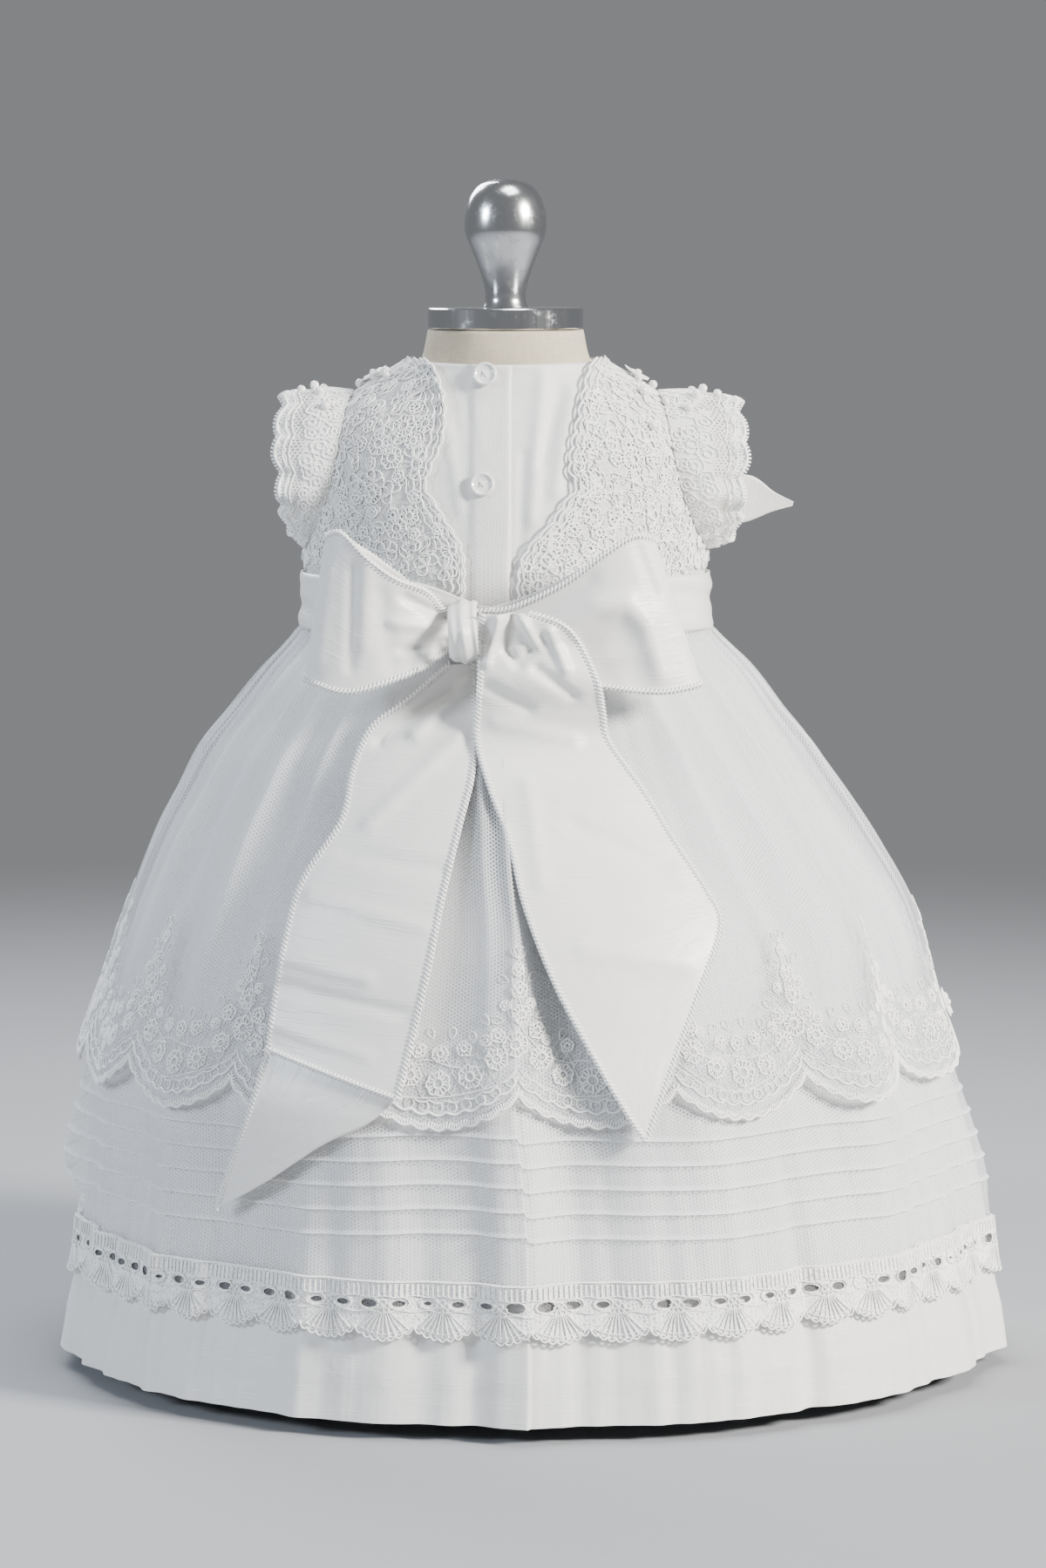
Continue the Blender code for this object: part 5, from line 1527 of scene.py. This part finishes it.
def veil_lift(angle, z):
    """How far the overskirt stands off: freely, except under the ribbon's ends."""
    turn = np.radians(angle)
    free = step(34.0, 48.0, np.abs(apart(angle, BACK - 6.0)))
    wave = 1.0 + np.sin(13.0 * turn + 2.0 * np.sin(3.0 * turn + 0.5))
    lift = smooth(SKIRT, "over_lift", z) + pleat_height(angle, z)
    return lift + 2.4 * wave * free * step(270.0, 150.0, z) - 2.2 * drawn_in(z)


def veil_point(angle, z, lift=0.0):
    """A point off the overskirt, in mm."""
    return skirt_point(angle, z, veil_lift(angle, z) + lift)


class GOWN_OT_overskirt(Operator):
    """Make the net overskirt and the embroidered lace along its scalloped edge."""

    bl_idname = "gown.overskirt"
    bl_label = "Overskirt"

    def execute(self, context):
        angles = skirt_columns()
        edge = overskirt_edge(angles)
        z = blend(edge, SKIRT_TOP, evenly(56)[:, None] ** 1.15)
        reach = 38.0 + 34.0 * (1.0 - scallop_swing(angles)) ** 1.4
        ragged = 3.0 * np.sin(np.radians(angles) * 90.0)
        worked = 0.26 * step(6.0, -8.0, z - edge - reach - ragged)
        worked = worked + 0.13 * pleat_height(angles, z)
        net = cloth("net_overskirt", veil_point(angles, z), "veil",
                    skirt_pattern(angles, z), closed=True, marks={"worked": worked})
        worn(net, "net", "overskirt_front", "overskirt_back_left", "overskirt_back_right")
        lines = laid_on(overskirt_lines(), lambda angle, z: veil_point(angle, z, 0.35))
        lace = cords("overskirt_lace", lines, "lace", "thread")
        turn = around(0.36)
        level = overskirt_edge(turn) + 1.4 - scallop_swing(turn, RIPPLES)
        points = veil_point(turn, level, 0.5)
        picots = stitches("overskirt_picots", [Line(points, True, 1.0)],
                          [veil_point(turn, level, 1.5) - points], "lace", "thread",
                          Step=context.scene.gown_sizes.picot_step, Slant=0.25, **FINE_STITCH)
        return {"FINISHED"}


class GOWN_OT_bodice(Operator):
    """Make the front and the two halves of the back, which lap at the buttons."""

    bl_idname = "gown.bodice"
    bl_label = "Bodice"

    def execute(self, context):
        z = np.linspace(341.3, NECK_Z, 72)[:, None]
        lift = BODICE_LIFT + CLOTH
        armhole = armhole_angle(z)
        angles = blend(armhole, 180.0 - armhole, evenly(91))
        soft = 0.35 * np.sin(np.radians(angles) * 21.0) * step(380.0, 345.0, z)
        spread = evenly(71) ** 0.85
        left = blend(LEFT_SIDE + armhole, back_angle(LAP_EDGE_X, z), spread)
        x = torso_x(left, z)
        rise = LAP_RISE * step(*LAP_RAMP_X, x)
        rise = rise * (1.0 - 0.95 * step(LAP_EDGE_X - 1.0, LAP_EDGE_X, x) ** 2)
        rise = rise + np.maximum(crease_height(x, z, BODICE_CREASES), -0.25)
        right = blend(-armhole, back_angle(LAP_UNDER_X, z), spread)
        x = torso_x(right, z)
        under = crease_height(x, z, BODICE_CREASES)
        under = under * step(LAP_EDGE_X - 0.5, LAP_EDGE_X + 2.5, x)
        for name, grid, flat, area in (
                ("front", torso_point(angles, z, lift + soft), (0.26, 0.13), 0.0265),
                ("back_left", torso_point(left, z, lift + rise), (0.125, 0.13), 0.0140),
                ("back_right", torso_point(right, z, lift + under)[:, ::-1], (0.135, 0.13),
                 0.0148)):
            item = walled(cloth("satin_bodice_" + name, grid, "bodice"), 0.0007)
            worn(item, "satin", "bodice_" + name)
        return {"FINISHED"}


class GOWN_OT_bodice_lace(Operator):
    """Make the lace over the bodice: its ground, its flowers and its scalloped edges."""

    bl_idname = "gown.bodice_lace"
    bl_label = "Bodice Lace"

    def execute(self, context):
        z = np.linspace(352.0, NECK_Z - 0.6, 64)[:, None]
        fold = 0.008
        for seed, (part, under, edge, sides, flat, area) in enumerate((
                ("back_left", "back_left", 1.0, 4, (0.12, 0.10), 0.0088),
                ("back_right", "back_right", 0.0, 4, (0.12, 0.10), 0.0090),
                ("front_right", "front", -1.0, 3, (0.14, 0.11), 0.0120),
                ("front_left", "front", -1.0, 3, (0.14, 0.11), 0.0120))):
            first, last = bodice_lace_bounds(part, z)
            spread = np.sort(np.append(evenly(65), abs(edge - fold)))
            angles = blend(first, last, spread)
            turned_under = step(fold, 0.0, np.abs(spread - edge))
            rough = 0.35 * np.sin(angles * 2.3 + z * 0.4) * np.sin(z * 1.1 + angles)
            behind = step(4.0, 0.0, z - sash_top(angles))
            lift = lace_lift(part, angles, z) - 0.3 + blend(rough, -0.6, behind)
            lift = blend(lift, 1.9, turned_under)
            ground = cloth("lace_ground_" + part, torso_point(angles, z, lift), "ground")
            worn(ground, "lace", "lace_" + part)
            lines = laid_on(bodice_lines(part, 40 + seed), lambda angle, z: torso_point(
                angle, z, lace_lift(part, angle, z) + 0.2))
            threads = cords("lace_flowers_" + part, lines, "lace", "thread", sides)
        return {"FINISHED"}


def sleeve_point(sleeve, turn, depth):
    """A point of a cap sleeve: degrees round the armhole, and 0 at its seam to 1 at its rim."""
    turn, depth = np.broadcast_arrays(np.radians(turn), np.asarray(depth, float))
    cosine, sine = np.cos(turn), np.sin(turn)
    z = ARMHOLE_Z + (ARMHOLE_HALF_HEIGHT + 1.0) * sine
    reach = (ARMHOLE_HALF_DEPTH + 1.0) * cosine
    angle = np.degrees(np.arcsin(reach / smooth(TORSO, "half_depth", z)))
    root = torso_point(angle if sleeve.way > 0 else 180.0 - angle, z, SLEEVE_LIFT - 0.8)
    ripple = 3.2 * np.abs(np.sin(turn * 6.0)) - 1.8 + 0.8 * np.sin(turn * 5.0 + 1.0)
    swell = 1.0 + 0.05 * np.sin(4.0 * turn + 0.6)
    rim_x = sleeve.rim_x + ripple + 2.0 * sine - 4.0 * sine**2
    rim = joined(sleeve.way * rim_x, 30.0 * cosine * swell,
                 sleeve.rim_z + (31.0 + 3.0 * sine) * sine * swell)
    flutter = depth * (0.8 * np.sin(turn * 17.0) + 1.2 * np.sin(turn * 9.0 + 2.0) * depth)
    push = flutter + 1.6 * np.sin(math.pi * depth)
    return blend(root, rim, depth[..., None]) + joined(0.0, cosine, sine) * push[..., None]


def rim_outward(turn):
    """The way that a cap sleeve faces, at degrees round the armhole."""
    return joined(0.0, *polar(turn))


def sleeve_lines(turn, rng):
    """The embroidery of a cap sleeve, as lines at (turn, depth)."""
    lines = [flat_line(turn, level, thickness)
             for level, thickness in ((0.99, 0.85), (0.86, 0.55), (0.76, 0.40))]
    for level, count, radius in ((0.10, 27, 3.0), (0.27, 25, 3.8), (0.46, 26, 3.4),
                                 (0.90, 40, 2.0)):
        for k in range(count):
            centre = (k + rng.uniform(-0.3, 0.3)) * 360.0 / count
            flat = flower_lines(0.0, 0.0, radius * rng.uniform(0.8, 1.1), rng, 0.42)
            lines += laid_on(flat[:2 + rng.randrange(4)], lambda x, z: joined(
                centre + x * 1.8, np.clip(level + z / 24.0, 0.0, 1.0)))
    return lines


class GOWN_OT_cap_sleeves(Operator):
    """Make both cap sleeves: embroidered net, a band of clear net and a scalloped rim."""

    bl_idname = "gown.cap_sleeves"
    bl_label = "Cap Sleeves"

    def execute(self, context):
        for seed, sleeve in enumerate(SLEEVES):
            turn = np.arange(0.0, 360.0, 2.5) * -sleeve.way
            depth = evenly(15)[:, None]
            worked = 0.9 * (step(0.60, 0.52, depth) + step(0.78, 0.84, depth))
            name = "lace_" + sleeve.name
            net = cloth(name, sleeve_point(sleeve, turn, depth), "sleeve", closed=True,
                        marks={"worked": worked})
            worn(net, "lace", sleeve.name)
            lines = laid_on(sleeve_lines(turn, random.Random(70 + seed)),
                            lambda turn, depth: sleeve_point(sleeve, turn, depth)
                            + 0.3 * rim_outward(turn))
            threads = cords(name + "_cords", lines, "lace", "thread", 4)
            picots = stitches(name + "_picots", [Line(sleeve_point(sleeve, turn, 0.99), True, 1.0)],
                              [rim_outward(turn)], "lace", "thread", Slant=0.2,
                              Step=context.scene.gown_sizes.picot_step * 1.3, Length=0.0040,
                              Thickness=0.00055)
        return {"FINISHED"}


def between(sections, low, high, across):
    """A grid between the two edges of a table of sections."""
    return blend(sections[:, None, low], sections[:, None, high], across[:, None])


def loop_grid(rows, creases):
    """A bow loop's outer face, with its creases on the side that faces away from the gown."""
    side = evenly(29)
    along = evenly(97)[:, None]
    grid = between(resample(rows, len(along)), *LOOP_EDGES, side)
    front = step(0.56, 0.42, along)
    grid[..., 1] -= 1.25 * crease_height(grid[..., 0], grid[..., 2], creases) * front
    grid[..., 1] += 0.5 * np.sin(math.pi * side) * (1.0 - 2.0 * step(0.4, 0.6, along))
    grid[..., 1] -= 0.35 * np.sin(side * 19.0 + along * 30.0) * step(0.10, 0.0, along)
    return grid


def tail_grid(rows, count, columns, creases):
    """The outer face of a hanging end, draped over the skirts."""
    grid = between(resample(rows, count), *TAIL_EDGES, evenly(columns))
    x, z, off = np.moveaxis(grid, -1, 0)
    off = off + 1.5 * crease_height(x, z, creases)
    y = -(skirt_depth(x, z) + smooth(SKIRT, "over_lift", z) + off)
    return joined(x, y, z)[::-1]


def sash_grid():
    """The sash's outer face, with soft folds that run round the waist."""
    angles = np.arange(0.0, 360.0, 2.0)
    turn = np.radians(angles)
    part = evenly(15)[:, None]
    fold = 0.55 * np.sin(part * 9.0 + 1.2 * np.sin(2.0 * turn) + 0.6)
    fold = fold + 0.35 * np.sin(part * 17.0 + 2.0 * np.sin(3.0 * turn + 1.0))
    z = blend(SASH_BOTTOM, sash_top(angles), part)
    z = z + 0.5 * np.sin(3.0 * turn) * np.sin(math.pi * part)
    return torso_point(angles, z, SASH_LIFT + 1.0 + fold)


def knot_grid():
    """The knot's outer face, ridged where its ribbon is folded."""
    turn = circle(72)
    x, half_depth, half_height = resample(KNOT, 25).T[:, :, None]
    ridge = 0.55 * np.sin((x + 24.8) * 1.2 + 0.9 * np.sin(turn))
    ridge = ridge - 1.1 * bell(x + 14.2 + 1.2 * np.sin(turn), 1.3)
    return joined(x + 0.4 * np.sin(turn * 2.0), KNOT_Y + (half_depth + ridge) * np.cos(turn),
                  KNOT_Z + (half_height + ridge * 0.6) * np.sin(turn))


def border(grid, side):
    """One long edge of a ribbon's grid, and the way that its cloth faces there."""
    normals = unit(np.cross(np.gradient(grid, axis=1), np.gradient(grid, axis=0)))
    inset = grid[:, 1] - grid[:, 0] if side == 0 else grid[:, -2] - grid[:, -1]
    return grid[:, side] + unit(inset) * 1.2, normals[:, side]


def serged(name, borders):
    """Overlock stitches and a line of thread along each of some ribbon edges."""
    lines = [Line(points + facing * 0.25, False, 1.0) for points, facing in borders]
    bound = [Line(points + facing * 0.15, False, 0.35) for points, facing in borders]
    return [stitches(name + "_stitches", lines, [facing for _, facing in borders], "satin",
                     "stitch", Step=bpy.context.scene.gown_sizes.stitch_step, Slant=0.7,
                     **FINE_STITCH),
            cords(name + "_binding", bound, "satin", "stitch", 4)]


def ribbon(name, grid, pattern=None, closed=False):
    """A length of ribbon with its thickness."""
    item = cloth(name, grid, "ribbon", pattern, closed)
    return walled(item, bpy.context.scene.gown_sizes.ribbon_wall)


class GOWN_OT_sash_and_bow(Operator):
    """Make the sash, the two loops, the knot and the two hanging ends."""

    bl_idname = "gown.sash_and_bow"
    bl_label = "Sash and Bow"

    def execute(self, context):
        sash = worn(ribbon("sash_ribbon", sash_grid(), closed=True), "satin", "sash_band")
        knot = worn(ribbon("ribbon_knot", knot_grid(), closed=True), "satin", "bow_knot")
        for side, grid in (("left", loop_grid(LEFT_LOOP, LEFT_LOOP_CREASES)),
                           ("right", loop_grid(RIGHT_LOOP, RIGHT_LOOP_CREASES)[:, ::-1])):
            name = "ribbon_loop_" + side
            loop = ribbon(name, grid, run_pattern(grid)[..., ::-1])
            worn(loop, "satin", "bow_loop_" + side)
            trims = serged(name, [border(grid, 0), border(grid, -1)])

        left = tail_grid(LEFT_TAIL, 121, 31, LEFT_TAIL_CREASES)
        right = tail_grid(RIGHT_TAIL, 161, 33, RIGHT_TAIL_CREASES)
        lower = border(left.transpose(1, 0, 2)[:, ::-1], -1)
        for side, grid, ends, flat, area in (("left", left, [lower], (0.068, 0.20), 0.0122),
                                             ("right", right, [], (0.085, 0.26), 0.0165)):
            name = "ribbon_tail_" + side
            tail = worn(ribbon(name, grid), "satin", "bow_tail_" + side)
            trims = serged(name, [border(grid, 0), border(grid, -1), *ends])

        grid = tail_grid(LEFT_TIP, 61, 25, ())
        tip = worn(ribbon("ribbon_tip_left", grid, run_pattern(grid)[..., ::-1]), "satin")
        serged("ribbon_tip_left", [border(grid, 0)])
        return {"FINISHED"}


class GOWN_OT_front_ribbon(Operator):
    """Make the pointed ribbon end that is sewn to the front at the right."""

    bl_idname = "gown.front_ribbon"
    bl_label = "Front Ribbon"

    def execute(self, context):
        upper, lower = torso_point(45.0, np.array([405.0, 386.0]), 5.4)
        seam = (lower[0], lower[2], upper[0], upper[2], upper[1])
        across = np.linspace(1.0, 0.0, 13)
        grid = between(resample((seam, *FRONT_RIBBON), 41), *LOOP_EDGES, across)
        grid[..., 1] += 0.6 * np.sin(grid[..., 0] * 0.12) - 0.5
        end = walled(cloth("ribbon_end_front", grid, "ribbon"), 0.0005)
        worn(end, "satin", "front_ribbon_end")
        return {"FINISHED"}


class GOWN_OT_buttons(Operator):
    """Make the two rimmed buttons with their holes and crossed thread."""

    bl_idname = "gown.buttons"
    bl_label = "Buttons"

    def execute(self, context):
        lines = []
        to_hole = 1.5
        for way in (40.0, 130.0):
            cosine, sine = polar(way)
            reach = np.linspace(-to_hole, to_hole, 7)
            height = 1.75 - 0.56 * (reach / to_hole) ** 4
            lines.append(Line(joined(reach * cosine, reach * sine, height), False, 0.28))
        for way in (40.0, 130.0, 220.0, 310.0):
            cosine, sine = polar(way)
            ring = ringlet(to_hole * cosine, to_hole * sine, 0.52, 12)
            lines.append(Line(joined(*ring.T, 1.22), True, 0.14))
        for button in BUTTONS:
            spot = standing(torso_point, back_angle(button.x, button.z), button.z, button.lift)
            disc = turned("clear_" + button.name, BUTTON_PROFILE, 48, "button")
            set_on(disc, *spot)
            worn(disc, "pearl", button.name)
            thread = grown(line_object("thread_" + button.name, lines), cord_tree, "stitch",
                           Thickness=1.0, Sides=6)
            set_on(thread, *spot)
            worn(thread, "satin")
        return {"FINISHED"}


def petal_mesh(name, spot, spin, length, width):
    """Five cupped satin petals round a place; sizes in mm."""
    middle, side, up, outward = spot
    along = evenly(11)[:, None]
    spread = np.linspace(-1.0, 1.0, 9)
    half = 0.5 * width * (0.25 + np.sin(math.pi * along**0.75)) * (1.0 - 0.2 * along)
    half = half * np.sqrt(np.clip(1.0 - (along * 0.98) ** 8, 0.0, 1.0))
    lift = 0.4 + 0.25 * length * along**1.6 + 0.22 * half * spread**2
    items = []
    for k in range(5):
        cosine, sine = polar(spin + 72.0 * k)
        ahead = side * cosine + up * sine
        across = up * cosine - side * sine
        grid = (middle + ahead * (0.6 + length * along)[..., None]
                + across * (half * spread)[..., None] + outward * (lift + 0.1 * k)[..., None])
        items.append(cloth(name + "_" + str(k), grid[:, ::-1], "petal"))
    with bpy.context.temp_override(active_object=items[0], selected_editable_objects=items):
        bpy.ops.object.join()
    items[0].name = name
    items[0].data.name = name
    return items[0]


class GOWN_OT_flowers_and_pearls(Operator):
    """Make the satin flowers at the shoulders, waist and skirt, and the pearls."""

    bl_idname = "gown.flowers_and_pearls"
    bl_label = "Flowers and Pearls"

    def execute(self, context):
        beads = []
        for number, flower in enumerate(FLOWERS):
            surface = torso_point if flower.surface == "torso" else skirt_point
            spot = standing(surface, flower.angle, flower.z, flower.lift)
            petals = petal_mesh("satin_" + flower.name, spot, number * 23.0, flower.radius - 0.8,
                                flower.radius * 0.85)
            worn(walled(petals, 0.0004), "satin", flower.name)
            beads.append((*(spot[0] + spot[3] * 2.0), 1.9))
        for pearl in PEARLS:
            beads.append((*torso_point(pearl.angle, pearl.z, pearl.lift), pearl.radius))
        for sleeve in SLEEVES:
            for turn, depth in SLEEVE_PEARLS:
                place_on = sleeve_point(sleeve, turn, depth) + np.array([0.0, -0.6, 1.6])
                beads.append((*place_on, 2.1))
        beads = np.array(beads) * MM
        mesh = bpy.data.meshes.new("sewn_pearls")
        mesh.from_pydata(beads[:, :3].tolist(), [], [])
        mark_points(mesh, "size", beads[:, 3])
        worn(grown(link("sewn_pearls", mesh), bead_tree, "pearl", Segments=12), "pearl")
        return {"FINISHED"}


class GOWN_PT_panel(Panel):
    """Lists the gown's settings and its pieces."""

    bl_idname = "GOWN_PT_panel"
    bl_label = "Christening Gown"
    bl_space_type = "VIEW_3D"
    bl_region_type = "UI"
    bl_category = "Gown"

    def draw(self, context):
        layout = self.layout
        for settings in (context.scene.gown_colours, context.scene.gown_sizes):
            for name in settings.__annotations__:
                layout.prop(settings, name)
        for operator in OPERATORS:
            layout.operator(operator.bl_idname)


OPERATORS = (
    GOWN_OT_stage, GOWN_OT_dress_form, GOWN_OT_underskirt, GOWN_OT_tucked_net,
    GOWN_OT_lace_edging, GOWN_OT_overskirt, GOWN_OT_bodice, GOWN_OT_bodice_lace,
    GOWN_OT_cap_sleeves, GOWN_OT_sash_and_bow, GOWN_OT_front_ribbon, GOWN_OT_buttons,
    GOWN_OT_flowers_and_pearls,
)
CLASSES = (GownColours, GownSizes) + OPERATORS + (GOWN_PT_panel,)


def register():
    for item in CLASSES:
        bpy.utils.register_class(item)
    bpy.types.Scene.gown_colours = PointerProperty(type=GownColours)
    bpy.types.Scene.gown_sizes = PointerProperty(type=GownSizes)


def unregister():
    del bpy.types.Scene.gown_sizes
    del bpy.types.Scene.gown_colours
    for item in reversed(CLASSES):
        bpy.utils.unregister_class(item)


def main():
    """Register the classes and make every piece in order."""
    register()
    bpy.ops.gown.stage()
    bpy.ops.gown.dress_form()
    bpy.ops.gown.underskirt()
    bpy.ops.gown.tucked_net()
    bpy.ops.gown.lace_edging()
    bpy.ops.gown.overskirt()
    bpy.ops.gown.bodice()
    bpy.ops.gown.bodice_lace()
    bpy.ops.gown.cap_sleeves()
    bpy.ops.gown.sash_and_bow()
    bpy.ops.gown.front_ribbon()
    bpy.ops.gown.buttons()
    bpy.ops.gown.flowers_and_pearls()


if __name__ == "__main__":
    main()
